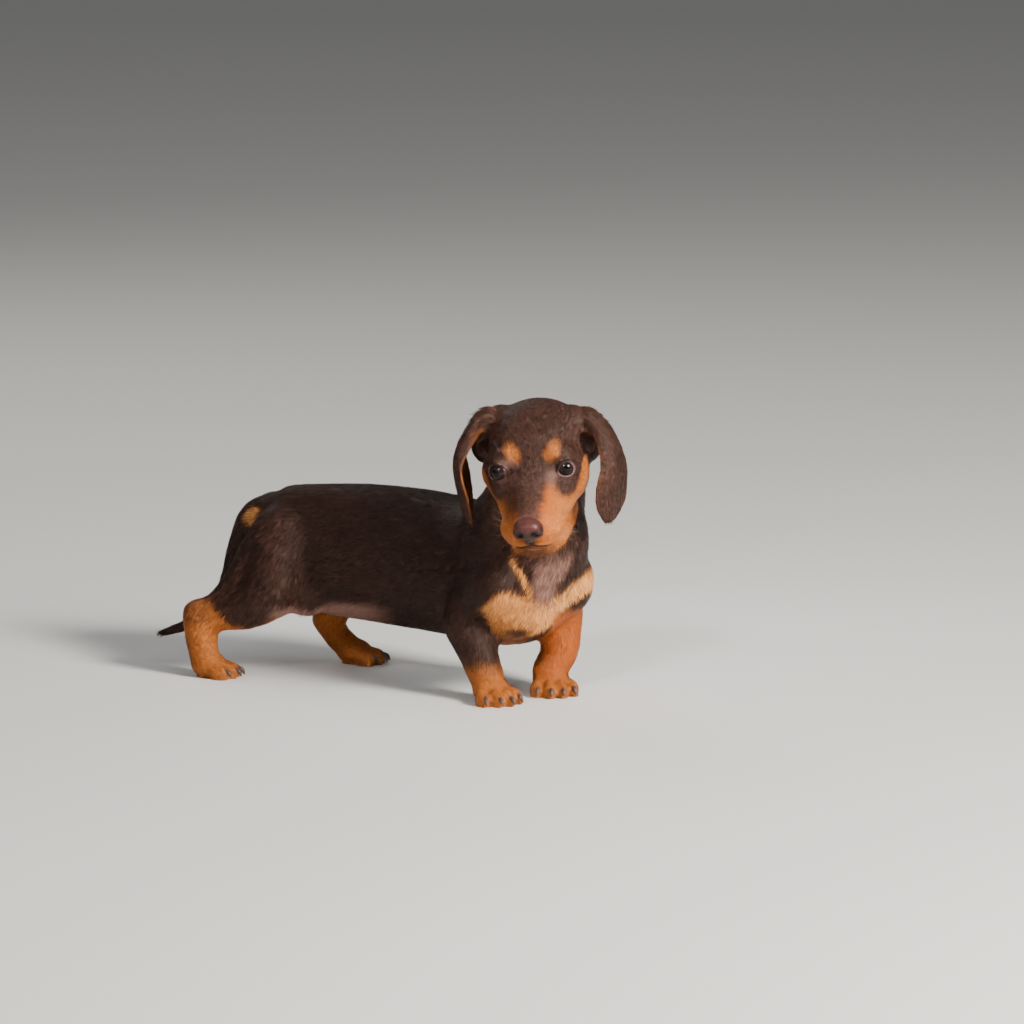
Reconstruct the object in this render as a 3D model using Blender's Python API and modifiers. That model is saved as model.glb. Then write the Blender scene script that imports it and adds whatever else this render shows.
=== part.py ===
# A standing dachshund puppy, smooth coated, life size. Metres, +Z up, head towards +X.
# The body is modelled straight along X, with the head turned to its right, and is bent in plan at the end.
import math

import bmesh
import bpy
import numpy as np
from mathutils import Euler, Matrix, Vector
from mathutils.bvhtree import BVHTree

MM = 0.001

# Driving sizes of the puppy, in millimetres
WITHERS_HEIGHT = 130.0
CROUP_HEIGHT = 124.0
CHEST_FRONT_X = 36.0
BUTTOCK_X = -225.0
CHEST_HALF_WIDTH = 43.0
LOIN_HALF_WIDTH = 35.0
CUT_GAP = 0.5

# The bend of the spine in plan: the rump heads one way and the chest the other
RUMP_HEADING = math.radians(20.0)
CHEST_HEADING = math.radians(-25.0)
BEND_BACK_X = -130.0
BEND_FRONT_X = -10.0

# The head, about the point midway between the eyes, which looks along the head's own +X
HEAD_AT = (40.0, -44.0, 164.0)
HEAD_YAW = math.radians(-62.0)
HEAD_PITCH = math.radians(23.0)
HEAD_ROLL = math.radians(5.5)
EYE_AT = (0.0, 21.6, 0.0)
EYE_RADIUS = 7.6
EYE_OUTWARD = math.radians(20.0)
LID_THICKNESS = 1.2
EYE_OPENING = (12.6, 11.0)
EYE_RISE = math.radians(14.0)
NOSE_AT = (48.5, 0.0, -16.5)
NOSE_RADII = (7.6, 10.0, 8.0)
EAR_THICKNESS = 2.4

# Each paw: its middle, the way it points, how far apart its toes stand, and its size
PAWS = {
    "forepaw_right": ((13, -30, 8.4), -4, 7.4, 1.08),
    "forepaw_left": ((5, 21, 8.4), -20, 7.4, 1.08),
    "hindpaw_right": ((-240, -40, 8.4), 0, 6.8, 0.98),
    "hindpaw_left": ((-158, 36, 8.4), 4, 6.8, 0.98),
}

# Each ear: its side, the middle line from the root, the way its width runs, half its width, and its cup
EARS = (
    (
        1,
        [
            (-32, 28.4, 18.7),
            (-31, 37.2, 20.5),
            (-28, 45.4, 12.4),
            (-24, 50.7, 0.2),
            (-18, 52.8, -13.1),
            (-11, 50.0, -29.1),
            (-4, 46.1, -47.8),
        ],
        [
            (0.7, -0.1, -0.7),
            (0.85, -0.4, -0.5),
            (0.9, -0.5, -0.2),
            (1, -0.5, 0.1),
            (1, -0.55, 0.35),
            (1, -0.6, 0.4),
            (1, -0.6, 0.4),
        ],
        [8, 7, 9, 12.5, 16.5, 16, 6],
        [3, 4, 3.5, 2.6, 1],
    ),
    (
        -1,
        [
            (-32, -24.5, 22.6),
            (-31, -31.3, 25.1),
            (-28, -38.9, 22.9),
            (-24, -47.3, 15.0),
            (-19, -54.4, 2.2),
            (-12, -53.8, -16.7),
            (-6, -50.4, -43.1),
        ],
        [
            (0.7, 0.1, -0.7),
            (0.85, 0.0, -0.6),
            (0.9, -0.1, -0.3),
            (1, -0.15, 0.0),
            (1, -0.1, 0.3),
            (1, -0.05, 0.4),
            (1, 0.0, 0.4),
        ],
        [8, 7.5, 9, 12, 16, 14, 5],
        [3, 5, 6, 6, 3],
    ),
)

# Fineness of the fused flesh
VOXEL = 1.25
TRIANGLES = {"body": 7700, "head": 4400, "nose": 500}

CHOCOLATE = (0.045, 0.022, 0.016)
TAN = (0.43, 0.16, 0.05)
LIVER = (0.11, 0.035, 0.03)
EYE_BROWN = (0.02, 0.011, 0.008)


def clear_scene():
    for obj in list(bpy.data.objects):
        bpy.data.objects.remove(obj)


def new_material(name, colour, roughness):
    made = bpy.data.materials.new(name)
    made.use_nodes = True
    shader = made.node_tree.nodes["Principled BSDF"]
    shader.inputs["Base Color"].default_value = (*colour, 1.0)
    shader.inputs["Roughness"].default_value = roughness
    shader.inputs["Metallic"].default_value = 0.0
    made.diffuse_color = (*colour, 1.0)
    return made


def new_object(name, mesh, collection):
    made = bpy.data.objects.new(name, mesh)
    collection.objects.link(made)
    return made


def finish_mesh(build, name, collection):
    """Turns a bmesh in millimetres into an object in metres."""
    bmesh.ops.recalc_face_normals(build, faces=build.faces)
    bmesh.ops.scale(build, vec=(MM, MM, MM), verts=build.verts)
    mesh = bpy.data.meshes.new(name)
    build.to_mesh(mesh)
    build.free()
    return new_object(name, mesh, collection)


def placed(centre, turn=(0.0, 0.0, 0.0), scale=(1.0, 1.0, 1.0)):
    """A matrix that scales, turns by degrees about X, Y and Z, and moves to centre."""
    angles = [math.radians(a) for a in turn]
    size = Matrix.Diagonal((*scale, 1.0))
    return Matrix.Translation(centre) @ Euler(angles).to_matrix().to_4x4() @ size


def ellipsoid(collection, centre, radii, turn=(0.0, 0.0, 0.0), segments=32):
    build = bmesh.new()
    bmesh.ops.create_uvsphere(
        build,
        u_segments=segments,
        v_segments=segments // 2,
        radius=1.0,
        matrix=placed(centre, turn, radii),
    )
    return finish_mesh(build, "ellipsoid", collection)


def along(keys, values, wanted):
    """Smooth values between keys, with no overshoot: a monotone cubic."""
    keys, values = np.array(keys, float), np.array(values, float)
    if values.ndim == 1:
        values = values[:, None]
    steps = np.diff(keys)
    slopes = np.diff(values, axis=0) / steps[:, None]
    tangents = np.zeros_like(values)
    tangents[0], tangents[-1] = slopes[0], slopes[-1]
    same_way = slopes[:-1] * slopes[1:] > 0
    mean = 2 * slopes[:-1] * slopes[1:] / np.where(same_way, slopes[:-1] + slopes[1:], 1)
    tangents[1:-1] = np.where(same_way, mean, 0)
    span = np.clip(np.searchsorted(keys, wanted, side="right") - 1, 0, len(steps) - 1)
    t = ((wanted - keys[span]) / steps[span])[:, None]
    step = steps[span][:, None]
    low, high = values[span], values[span + 1]
    ramp = t * t * (3 - 2 * t)
    start = t * (1 - t) ** 2
    end = t * t * (t - 1)
    return low + (high - low) * ramp + step * (start * tangents[span] + end * tangents[span + 1])


def spline_points(points, count):
    """Points on a smooth curve through the given ones, evenly spaced along it."""
    points = np.array(points, float)
    ends = np.concatenate([[2 * points[0] - points[1]], points, [2 * points[-1] - points[-2]]])
    fine = []
    for a, b, c, d in zip(ends[:-3], ends[1:-2], ends[2:-1], ends[3:]):
        for t in np.linspace(0, 1, 16, endpoint=False):
            cubic = (3 * b - a - 3 * c + d) * t**3
            square = (2 * a - 5 * b + 4 * c - d) * t**2
            fine.append(0.5 * (2 * b + (c - a) * t + square + cubic))
    fine.append(points[-1])
    fine = np.array(fine)
    length = np.concatenate([[0], np.cumsum(np.linalg.norm(np.diff(fine[:, :3], axis=0), axis=1))])
    wanted = np.linspace(0, length[-1], count)
    return np.stack([np.interp(wanted, length, column) for column in fine.T], axis=1)


def limb(collection, points, count=24, flat=1.0):
    """A round limb through (x, y, z, radius) points, squeezed sideways by flat about its own middle."""
    path = spline_points(points, count)
    curve = bpy.data.curves.new("limb", "CURVE")
    curve.dimensions = "3D"
    curve.bevel_depth = MM
    curve.bevel_resolution = 6
    curve.use_fill_caps = True
    spline = curve.splines.new("POLY")
    spline.points.add(len(path) - 1)
    for point, (x, y, z, radius) in zip(spline.points, path):
        point.co = (x * MM, y * MM, z * MM, 1.0)
        point.radius = radius
    guide = new_object("limb", curve, collection)
    graph = bpy.context.evaluated_depsgraph_get()
    mesh = bpy.data.meshes.new_from_object(guide.evaluated_get(graph))
    bpy.data.objects.remove(guide)
    build = bmesh.new()
    build.from_mesh(mesh)
    bmesh.ops.remove_doubles(build, verts=build.verts, dist=0.01 * MM)
    middle = path[:, 1].mean() * MM
    for vert in build.verts:
        vert.co.y = middle + (vert.co.y - middle) * flat
    build.to_mesh(mesh)
    build.free()
    made = new_object("limb", mesh, collection)
    for x, y, z, radius in (path[0], path[-1]):
        ellipsoid(collection, (x, y, z), (radius, radius * flat, radius), segments=20)
    return made


def loft(collection, stations, rings=30, sides=36, squareness=0.9):
    """A body through stations (x, top, bottom, upper half width, lower half width), with flat ends."""
    stations = np.array(stations, float)
    wanted = np.linspace(stations[0, 0], stations[-1, 0], rings)
    table = along(stations[:, 0], stations[:, 1:], wanted)
    build = bmesh.new()
    previous = None
    first = None
    for x, (top, bottom, upper, lower) in zip(wanted, table):
        ring = []
        for step in range(sides):
            angle = 2 * math.pi * step / sides
            height = math.sin(angle)
            across = math.copysign(abs(math.cos(angle)) ** squareness, math.cos(angle))
            share = 0.5 + 0.5 * height
            blend = share * share * (3 - 2 * share)
            width = lower + (upper - lower) * blend
            z = (top + bottom) / 2 + height * (top - bottom) / 2
            ring.append(build.verts.new((x, across * width, z)))
        if previous:
            for i in range(sides):
                j = (i + 1) % sides
                build.faces.new((previous[i], previous[j], ring[j], ring[i]))
        first = first or ring
        previous = ring
    build.faces.new(first)
    build.faces.new(previous)
    return finish_mesh(build, "loft", collection)


def evaluated_mesh(obj):
    graph = bpy.context.evaluated_depsgraph_get()
    return bpy.data.meshes.new_from_object(obj.evaluated_get(graph))


def apply_modifiers(obj):
    mesh = evaluated_mesh(obj)
    obj.modifiers.clear()
    obj.data = mesh
    return obj


def keep_largest(obj):
    """Drops loose scraps and sealed hollows, keeping the largest closed surface."""
    build = bmesh.new()
    build.from_mesh(obj.data)
    build.verts.ensure_lookup_table()
    seen = set()
    shells = []
    for start in build.verts:
        if start.index in seen:
            continue
        seen.add(start.index)
        shell, open_ends = [start], [start]
        while open_ends:
            for edge in open_ends.pop().link_edges:
                for vert in edge.verts:
                    if vert.index not in seen:
                        seen.add(vert.index)
                        shell.append(vert)
                        open_ends.append(vert)
        shells.append(shell)
    shells.sort(key=len)
    for shell in shells[:-1]:
        bmesh.ops.delete(build, geom=shell, context="VERTS")
    build.to_mesh(obj.data)
    build.free()
    return obj


def joined(collection, name, target):
    """Every object of a working collection as one mesh object in target, the collection emptied."""
    build = bmesh.new()
    for obj in list(collection.objects):
        obj.data.transform(obj.matrix_world)
        build.from_mesh(obj.data)
        bpy.data.objects.remove(obj)
    mesh = bpy.data.meshes.new(name)
    build.to_mesh(mesh)
    build.free()
    return new_object(name, mesh, target)


def fused(collection, name, target, voxel, smoothing):
    """The shapes of a working collection melted into one smooth skin."""
    made = joined(collection, name, target)
    remesh = made.modifiers.new("melt", "REMESH")
    remesh.mode = "VOXEL"
    remesh.voxel_size = voxel * MM
    smooth = made.modifiers.new("soften", "SMOOTH")
    smooth.factor = 0.5
    smooth.iterations = smoothing
    return keep_largest(apply_modifiers(made))


def move_into(collection, objects):
    for obj in objects:
        for owner in list(obj.users_collection):
            owner.objects.unlink(obj)
        collection.objects.link(obj)


def boolean(obj, other, operation):
    modifier = obj.modifiers.new(operation, "BOOLEAN")
    modifier.operation = operation
    modifier.solver = "MANIFOLD"
    modifier.object = other
    apply_modifiers(obj)
    return keep_largest(obj)


def box(collection, low, high, turn=(0.0, 0.0, 0.0), pivot=(0.0, 0.0, 0.0), grow=0.0):
    """A box between two corners given from a pivot, turned by degrees about that pivot."""
    low = Vector(low) - Vector((grow,) * 3)
    high = Vector(high) + Vector((grow,) * 3)
    size = Matrix.Translation((low + high) / 2) @ Matrix.Diagonal((*(high - low), 1.0))
    build = bmesh.new()
    bmesh.ops.create_cube(build, size=1.0, matrix=placed(pivot, turn) @ size)
    bmesh.ops.triangulate(build, faces=build.faces)
    return finish_mesh(build, "box", collection)


def build_trunk(shapes):
    """Ribs, loin and rump as one loft, with the masses of shoulder and haunch laid on it."""
    half = CHEST_HALF_WIDTH
    loft(
        shapes,
        [
            (BUTTOCK_X + 12, CROUP_HEIGHT - 9, 66, 18, 21),
            (-198, CROUP_HEIGHT + 6, 52, 25, 28),
            (-172, CROUP_HEIGHT + 8, 41, 30, 32),
            (-140, WITHERS_HEIGHT + 3, 37, LOIN_HALF_WIDTH, LOIN_HALF_WIDTH),
            (-100, WITHERS_HEIGHT + 1, 33, half - 4, half - 2),
            (-60, WITHERS_HEIGHT - 3, 31, half - 2, half),
            (-25, WITHERS_HEIGHT - 4, 31, half - 5, half - 2),
            (5, WITHERS_HEIGHT - 8, 36, 32, 37),
            (CHEST_FRONT_X - 10, WITHERS_HEIGHT - 24, 50, 20, 27),
        ],
        rings=48,
        sides=48,
    )
    ellipsoid(shapes, (14, 0, 77), (CHEST_FRONT_X - 15, 35, 37))
    ellipsoid(shapes, (CHEST_FRONT_X - 10, 0, 80), (11, 16, 16))
    ellipsoid(shapes, (-205, 0, 90), (BUTTOCK_X * -1 - 208, 25, 30))
    for side in (-1, 1):
        ellipsoid(shapes, (-6, side * 26, 92), (26, 16, 35), turn=(side * 8, 14, 0))
        ellipsoid(shapes, (11, side * 28, 78), (24, 19, 26), turn=(0, 35, 0))
        ellipsoid(shapes, (-18, side * 32, 62), (19, 13, 19))


def build_forelegs(shapes):
    """Each foreleg from its elbow to the wrist, short and stout, then the paw."""
    for side, elbow, wrist, paw in (
        (-1, (-11, 37, 54), (1, 32, 27), (11, 30, 11)),
        (1, (-10, 36, 54), (-1, 31.5, 29), (3, 22, 11)),
    ):
        ex, ey, ez = elbow
        wx, wy, wz = wrist
        px, py, pz = paw
        limb(
            shapes,
            [
                (ex + 6, side * (ey - 6), ez + 16, 17.0),
                (ex, side * ey, ez, 17.0),
                ((ex + wx) / 2, side * (ey + wy) / 2, (ez + wz) / 2, 15.4),
                (wx, side * wy, wz, 13.6),
                (px - 4, side * py, pz + 3, 12.6),
            ],
        )
        ellipsoid(shapes, (ex - 10, side * ey, ez + 1), (9, 9, 10))


def build_hindlegs(shapes):
    """The right hind leg stretched back with a low stifle, the left one drawn forward under the body."""
    ellipsoid(shapes, (-197, -22, 88), (25, 16, 31), turn=(-8, 6, 0))
    limb(
        shapes,
        [
            (-198, -24, 88, 19.0),
            (-198, -29, 72, 20.0),
            (-201, -34, 59, 19.5),
            (-216, -38, 49, 16.5),
            (-236, -38, 44, 12.5),
            (-250, -38, 43, 10.5),
        ],
        flat=0.84,
    )
    limb(
        shapes,
        [(-212, -22, 86, 14.0), (-222, -28, 68, 12.0), (-238, -36, 51, 8.5), (-252, -38, 45, 7.0)],
    )
    ellipsoid(shapes, (-194, -34, 57), (13, 13, 17), turn=(0, 20, 0))
    ellipsoid(shapes, (-178, -25, 54), (18, 8, 13), turn=(0, 12, 0))
    ellipsoid(shapes, (-255, -38, 44), (7.5, 8, 9))
    limb(
        shapes,
        [(-250, -38, 43, 12.0), (-248, -39, 28, 11.8), (-245, -40, 12, 11.0)],
    )
    ellipsoid(shapes, (-192, 23, 90), (27, 15, 31), turn=(6, 6, 0))
    ellipsoid(shapes, (-206, 20, 76), (16, 13, 24), turn=(0, -14, 0))
    limb(
        shapes,
        [
            (-188, 26, 90, 20.0),
            (-168, 31, 70, 19.5),
            (-158, 34, 56, 17.0),
            (-167, 35, 44, 13.5),
            (-179, 35, 34, 11.0),
            (-182, 35, 30, 10.0),
        ],
        flat=0.86,
    )
    ellipsoid(shapes, (-184, 35, 34), (7, 8, 8))
    limb(
        shapes,
        [(-181, 35, 32, 10.0), (-174, 36, 20, 10.0), (-165, 36, 12, 10.5)],
    )


def build_tail(shapes):
    """The tail hangs along the buttocks and turns back near the ground."""
    limb(
        shapes,
        [
            (-206, 0, 111, 14.3),
            (-221, 0, 104.5, 12.4),
            (-233, 0, 82, 8.4),
            (-239, 1, 62, 7.4),
            (-248, 2, 44, 6.4),
            (-266, 3, 30, 5.0),
            (-292, 4, 20, 2.8),
        ],
        count=36,
    )


def build_neck(shapes, head_matrix):
    """The neck from the withers and the breast to the skull, with loose puppy skin at the throat."""
    poll = head_matrix @ Vector((-38, 0, -2))
    throat = head_matrix @ Vector((-24, 0, -22))
    limb(
        shapes,
        [
            (-22, 10, 98, 36.0),
            (-2, 4, 114, 37.0),
            (8, 6, 136, 34.5),
            (*poll, 28.0),
        ],
    )
    limb(
        shapes,
        [
            (8, -2, 84, 33.0),
            (20, -3, 110, 32.0),
            (*throat, 22.0),
        ],
    )


def build_head_mass(shapes):
    """Skull, cheeks and muzzle in the head's own frame, where +X is the way it looks."""
    ellipsoid(shapes, (-32, 0, 3), (34, 34.5, 27))
    ellipsoid(shapes, (-14, 0, 6), (18, 28, 19))
    loft(
        shapes,
        [
            (-34, 29, -28, 31, 30),
            (-20, 28, -32, 31, 32),
            (-8, 21.5, -33, 29, 32),
            (2, 12, -34.5, 26, 31),
            (12, 3, -36, 19, 28.5),
            (24, -4, -37, 14.5, 25),
            (35, -7, -37, 12.5, 21.5),
            (43, -9, -36, 10.5, 17.5),
        ],
        rings=30,
        sides=40,
        squareness=0.72,
    )
    ellipsoid(shapes, (41, 0, -27), (8.0, 16.5, 11))
    loft(
        shapes,
        [
            (-40, -10, -34, 18, 18),
            (-20, -14, -41, 26, 25),
            (0, -18, -44, 26, 23),
            (16, -22, -46.5, 23, 18.5),
            (29, -25, -48, 18.5, 15.5),
            (40, -30, -47.5, 13, 11),
        ],
        rings=20,
        sides=32,
    )
    ellipsoid(shapes, (37, 0, -40), (8, 12, 8))
    ellipsoid(shapes, (-11, 23, -3), (14, 9.5, 13))
    ellipsoid(shapes, (-11, -25.5, -7), (14, 11.5, 15))
    ellipsoid(shapes, (-39, -24, 16), (14, 12, 10.5))
    ellipsoid(shapes, (-36, 24, 14.5), (13, 12, 10.5))
    ellipsoid(shapes, (-35, -36.5, 1), (10.5, 10, 15))
    ellipsoid(shapes, (-34, 34, -2), (10.5, 9, 15))
    for side in (-1, 1):
        ellipsoid(shapes, (-16, side * 22, -13), (22, 13, 19))
        ellipsoid(shapes, (-6, side * 17, 9.5), (11, 13, 7.5), turn=(side * -22, 0, 0))
        ellipsoid(shapes, (1, side * 18, -10), (15, 12, 11), turn=(0, 14, 0))
        ellipsoid(shapes, (30, side * 12.5, -27), (15, 10.5, 10.5), turn=(0, 0, side * -16))


def build_lids(shapes):
    for side in (-1, 1):
        centre = (EYE_AT[0], side * EYE_AT[1], EYE_AT[2])
        ellipsoid(shapes, centre, (EYE_RADIUS + LID_THICKNESS,) * 3, segments=40)


def head_frame():
    turn = Euler((HEAD_ROLL, HEAD_PITCH, HEAD_YAW), "XYZ").to_matrix().to_4x4()
    return Matrix.Translation(HEAD_AT) @ turn


def to_metres(matrix):
    """The same placement for meshes that are already in metres."""
    made = matrix.copy()
    made.translation = matrix.translation * MM
    return made


def build_paw(shapes, centre, heading, splay, size):
    """A paw with four toes in a row, the middle two forward, and a broad pad behind."""
    turn = Matrix.Translation(centre) @ Matrix.Rotation(math.radians(heading), 4, "Z")
    ellipsoid(shapes, turn @ Vector((-2, 0, 0)), (13 * size, 12 * size, 9.5 * size), turn=(0, 0, heading))
    for place, reach, drop in ((-1.5, 7.5, 0.5), (-0.5, 12.5, 0), (0.5, 12.5, 0), (1.5, 7.5, 0.5)):
        toe = turn @ Vector((reach * size, place * splay * size, -3.2 - drop))
        ellipsoid(shapes, toe, (8.2 * size, 4.4 * size, 6.2 * size), turn=(0, 12, heading + place * 9))


def bent(points):
    """Straight-dog points in millimetres carried on to the curved spine."""
    points = np.array(points, float).reshape(-1, 3)
    reach = np.linspace(-340, 120, 921)
    share = np.clip((reach - BEND_BACK_X) / (BEND_FRONT_X - BEND_BACK_X), 0, 1)
    share = share * share * (3 - 2 * share)
    heading = RUMP_HEADING + (CHEST_HEADING - RUMP_HEADING) * share
    step = reach[1] - reach[0]
    spine_x = np.cumsum(np.cos(heading)) * step
    spine_y = np.cumsum(np.sin(heading)) * step
    spine_x -= np.interp(0, reach, spine_x)
    spine_y -= np.interp(0, reach, spine_y)
    x, y, z = points.T
    turn = np.interp(x, reach, heading)
    return np.stack(
        [
            np.interp(x, reach, spine_x) - y * np.sin(turn),
            np.interp(x, reach, spine_y) + y * np.cos(turn),
            z,
        ],
        axis=1,
    )


def bend(obj):
    points = np.empty(len(obj.data.vertices) * 3)
    obj.data.vertices.foreach_get("co", points)
    obj.data.vertices.foreach_set("co", (bent(points / MM) * MM).ravel())
    obj.data.update()
    return obj


def on_surface(mesh_object, points):
    """The nearest points of a mesh, for points given in millimetres."""
    tree = BVHTree.FromObject(mesh_object, bpy.context.evaluated_depsgraph_get())
    return [tree.find_nearest(Vector(point) * MM)[0] / MM for point in points]


def eye_axis(side):
    return Matrix.Translation((EYE_AT[0], side * EYE_AT[1], EYE_AT[2])) @ Euler(
        (0, -EYE_RISE, side * EYE_OUTWARD)
    ).to_matrix().to_4x4()


def build_eye_opening(cutters, side):
    """An almond prism along the gaze, with its inner corner drawn out."""
    build = bmesh.new()
    ring = []
    for step in range(32):
        angle = 2 * math.pi * step / 32
        across = math.cos(angle) * EYE_OPENING[0] / 2
        height = math.sin(angle) * EYE_OPENING[1] / 2
        across += 1.2 * max(0, math.cos(angle)) ** 6
        height -= 0.9 * max(0, math.cos(angle)) ** 6
        ring.append(build.verts.new((4.0, -side * across, height + 0.2)))
    face = build.faces.new(ring)
    grown = bmesh.ops.extrude_face_region(build, geom=[face])
    for item in grown["geom"]:
        if isinstance(item, bmesh.types.BMVert):
            item.co.x = 16.0
            item.co.y *= 1.12
            item.co.z *= 1.12
    bmesh.ops.transform(build, matrix=eye_axis(side), verts=build.verts)
    return finish_mesh(build, "eye_opening", cutters)


def build_eye(parts, side):
    """An eyeball with the low bulge of the cornea in front."""
    build = bmesh.new()
    bmesh.ops.create_uvsphere(build, u_segments=24, v_segments=15, radius=EYE_RADIUS)
    turn = Matrix.Rotation(math.pi / 2, 4, "Y")
    bmesh.ops.transform(build, matrix=turn, verts=build.verts)
    for vert in build.verts:
        spread = math.hypot(vert.co.y, vert.co.z) / 5.2
        if vert.co.x > 0 and spread < 1:
            vert.co.x += 0.55 * (1 - spread * spread) ** 2
    bmesh.ops.transform(build, matrix=head_frame() @ eye_axis(side), verts=build.verts)
    eye = finish_mesh(build, "eye", parts)
    eye.name = "eye_left" if side > 0 else "eye_right"
    return eye


def build_nose(parts, work):
    """The nose leather: a rounded block with two comma nostrils and a groove down the middle."""
    x, y, z = NOSE_AT
    ellipsoid(work, NOSE_AT, NOSE_RADII, segments=40)
    ellipsoid(work, (x + 2.5, 0, z + 1.5), (5.6, 9.0, 6.0))
    for side in (-1, 1):
        ellipsoid(work, (x + 1.5, side * 5.6, z - 1.2), (5.2, 4.8, 5.0))
    ellipsoid(work, (x + 1.0, 0, z - 5.5), (4.6, 3.4, 4.4))
    nose = fused(work, "nose", parts, 0.55, 4)
    for side in (-1, 1):
        nostril = ellipsoid(work, (x + 7.0, side * 4.3, z - 0.9), (2.6, 1.7, 2.0), segments=16)
        boolean(nose, nostril, "DIFFERENCE")
        slit = [
            (x + 6.2, side * 4.9, z - 1.2, 1.1),
            (x + 4.6, side * 7.9, z - 2.4, 0.8),
            (x + 2.5, side * 9.6, z - 2.6, 0.7),
        ]
        boolean(nose, joined_limb(work, slit), "DIFFERENCE")
    groove = [
        (x + 8.9, 0, z + 1.0, 0.5),
        (x + 8.6, 0, z - 2.0, 0.6),
        (x + 6.6, 0, z - 6.0, 0.7),
        (x + 3.0, 0, z - 9.6, 0.8),
    ]
    boolean(nose, joined_limb(work, groove), "DIFFERENCE")
    for obj in list(work.objects):
        bpy.data.objects.remove(obj)
    return nose


def joined_limb(work, points):
    """A slim limb with its rounded ends as one closed cutter."""
    scratch = bpy.data.collections.new("scratch")
    bpy.context.scene.collection.children.link(scratch)
    limb(scratch, points, count=20)
    made = joined(scratch, "cutter", work)
    remesh = made.modifiers.new("melt", "REMESH")
    remesh.mode = "VOXEL"
    remesh.voxel_size = 0.3 * MM
    apply_modifiers(made)
    bpy.data.collections.remove(scratch)
    return made


def grown_copy(obj, target, by):
    """A copy of a closed shape swollen along its normals."""
    made = new_object("grown", obj.data.copy(), target)
    swell = made.modifiers.new("swell", "DISPLACE")
    swell.strength = by * MM
    swell.mid_level = 0.0
    return apply_modifiers(made)


def build_ear(parts, side, path, spread, widths, cups):
    """A hanging ear flap as a cupped sheet: path is its middle line, spread the direction of its width."""
    rows, columns = 18, 9
    keys = np.linspace(0, 1, len(path))
    along_ear = np.linspace(0, 1, rows)
    middle = spline_points([(*point, 1.0) for point in path], rows)[:, :3]
    across = along(keys, spread, along_ear)
    across /= np.linalg.norm(across, axis=1)[:, None]
    run = np.gradient(middle, axis=0)
    run /= np.linalg.norm(run, axis=1)[:, None]
    outward = np.cross(across, run) * side
    half = along(np.linspace(0, 1, len(widths)), widths, along_ear)[:, 0]
    cup = along([0, 0.12, 0.3, 0.7, 1], cups, along_ear)[:, 0]
    build = bmesh.new()
    grid = []
    for i in range(rows):
        row = []
        for j in range(columns):
            t = 2 * j / (columns - 1) - 1
            ripple = 1.3 * math.sin(math.pi * (t + 0.15)) * along_ear[i]
            fold = -cup[i] * t * t * (1.35 if t > 0 else 0.65) + ripple
            point = middle[i] + across[i] * (t * half[i]) + outward[i] * fold
            row.append(build.verts.new(tuple(point)))
        grid.append(row)
    for upper, lower in zip(grid[:-1], grid[1:]):
        for j in range(columns - 1):
            build.faces.new((upper[j], upper[j + 1], lower[j + 1], lower[j]))
    bmesh.ops.triangulate(build, faces=build.faces)
    bmesh.ops.transform(build, matrix=head_frame(), verts=build.verts)
    ear = finish_mesh(build, "ear", parts)
    thick = ear.modifiers.new("thickness", "SOLIDIFY")
    thick.thickness = EAR_THICKNESS * MM
    thick.offset = 0.0
    thick.use_even_offset = False
    apply_modifiers(ear)
    ear.name = "ear_left" if side > 0 else "ear_right"
    return ear


def build_claws(shapes, centre, heading, splay, size):
    """Four short claws, each from the end of its toe down to just above the ground."""
    turn = Matrix.Translation(centre) @ Matrix.Rotation(math.radians(heading), 4, "Z")
    for place, reach in ((-1.5, 7.5), (-0.5, 12.5), (0.5, 12.5), (1.5, 7.5)):
        yaw = math.radians(place * 9)
        root = Vector(((reach + 5.5) * size, place * splay * size, -2.0))
        forward = Vector((math.cos(yaw), math.sin(yaw), 0))
        tip = root + forward * 5.2 * size + Vector((0, 0, -4.6))
        bend_point = root + forward * 3.4 * size + Vector((0, 0, -1.2))
        points = [(*(turn @ root), 1.7), (*(turn @ bend_point), 1.45), (*(turn @ tip), 0.75)]
        limb(shapes, points, count=8)


def build_mouth(cutters, head):
    """The line of the lips: down from the nose, then back along each side to the corner of the mouth."""
    sides = [
        (44.5, 4, -35.0),
        (41, 10.5, -35.8),
        (35, 15.5, -36.2),
        (26, 20, -36.0),
        (15, 23.5, -35.0),
        (4, 27, -31.5),
    ]
    right = [(x, -y, z) for x, y, z in reversed(sides)]
    lips = right + [(46, 0, -34.6)] + sides
    groove = [(50, 0, -26), (49, 0, -30), (47, 0, -34)]
    for path, radius in ((lips, 0.95), (groove, 0.8)):
        close = on_surface(head, spline_points([(*point, 1.0) for point in path], 40)[:, :3])
        joined_limb(cutters, [(*point, radius) for point in close])


def copy_of(obj, target):
    return new_object(obj.name, obj.data.copy(), target)


def take(body, parts, work, name, regions):
    """Parts one named node from the body, leaving a thin cut between the two."""
    node = copy_of(body, parts)
    for tight, wide in regions:
        boolean(node, tight, "INTERSECT")
        boolean(body, wide, "DIFFERENCE")
    node.name = name
    for obj in list(work.objects):
        bpy.data.objects.remove(obj)
    return node


def region(work, low, high, turn=(0.0, 0.0, 0.0), pivot=(0.0, 0.0, 0.0), frame=None):
    """The same box twice, exact and wider by the cut, on the curved spine or in a frame of its own."""
    made = [box(work, low, high, turn, pivot), box(work, low, high, turn, pivot, grow=CUT_GAP)]
    for obj in made:
        if frame is None:
            bend(obj)
        else:
            obj.data.transform(to_metres(frame))
    return [tuple(made)]


def thin_out(obj, triangles):
    """Fewer, well placed triangles for a node whose form is done."""
    build = bmesh.new()
    build.from_mesh(obj.data)
    bmesh.ops.triangulate(build, faces=build.faces)
    count = len(build.faces)
    build.to_mesh(obj.data)
    build.free()
    fewer = obj.modifiers.new("fewer", "DECIMATE")
    fewer.ratio = min(1.0, triangles / count)
    return apply_modifiers(obj)


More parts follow.
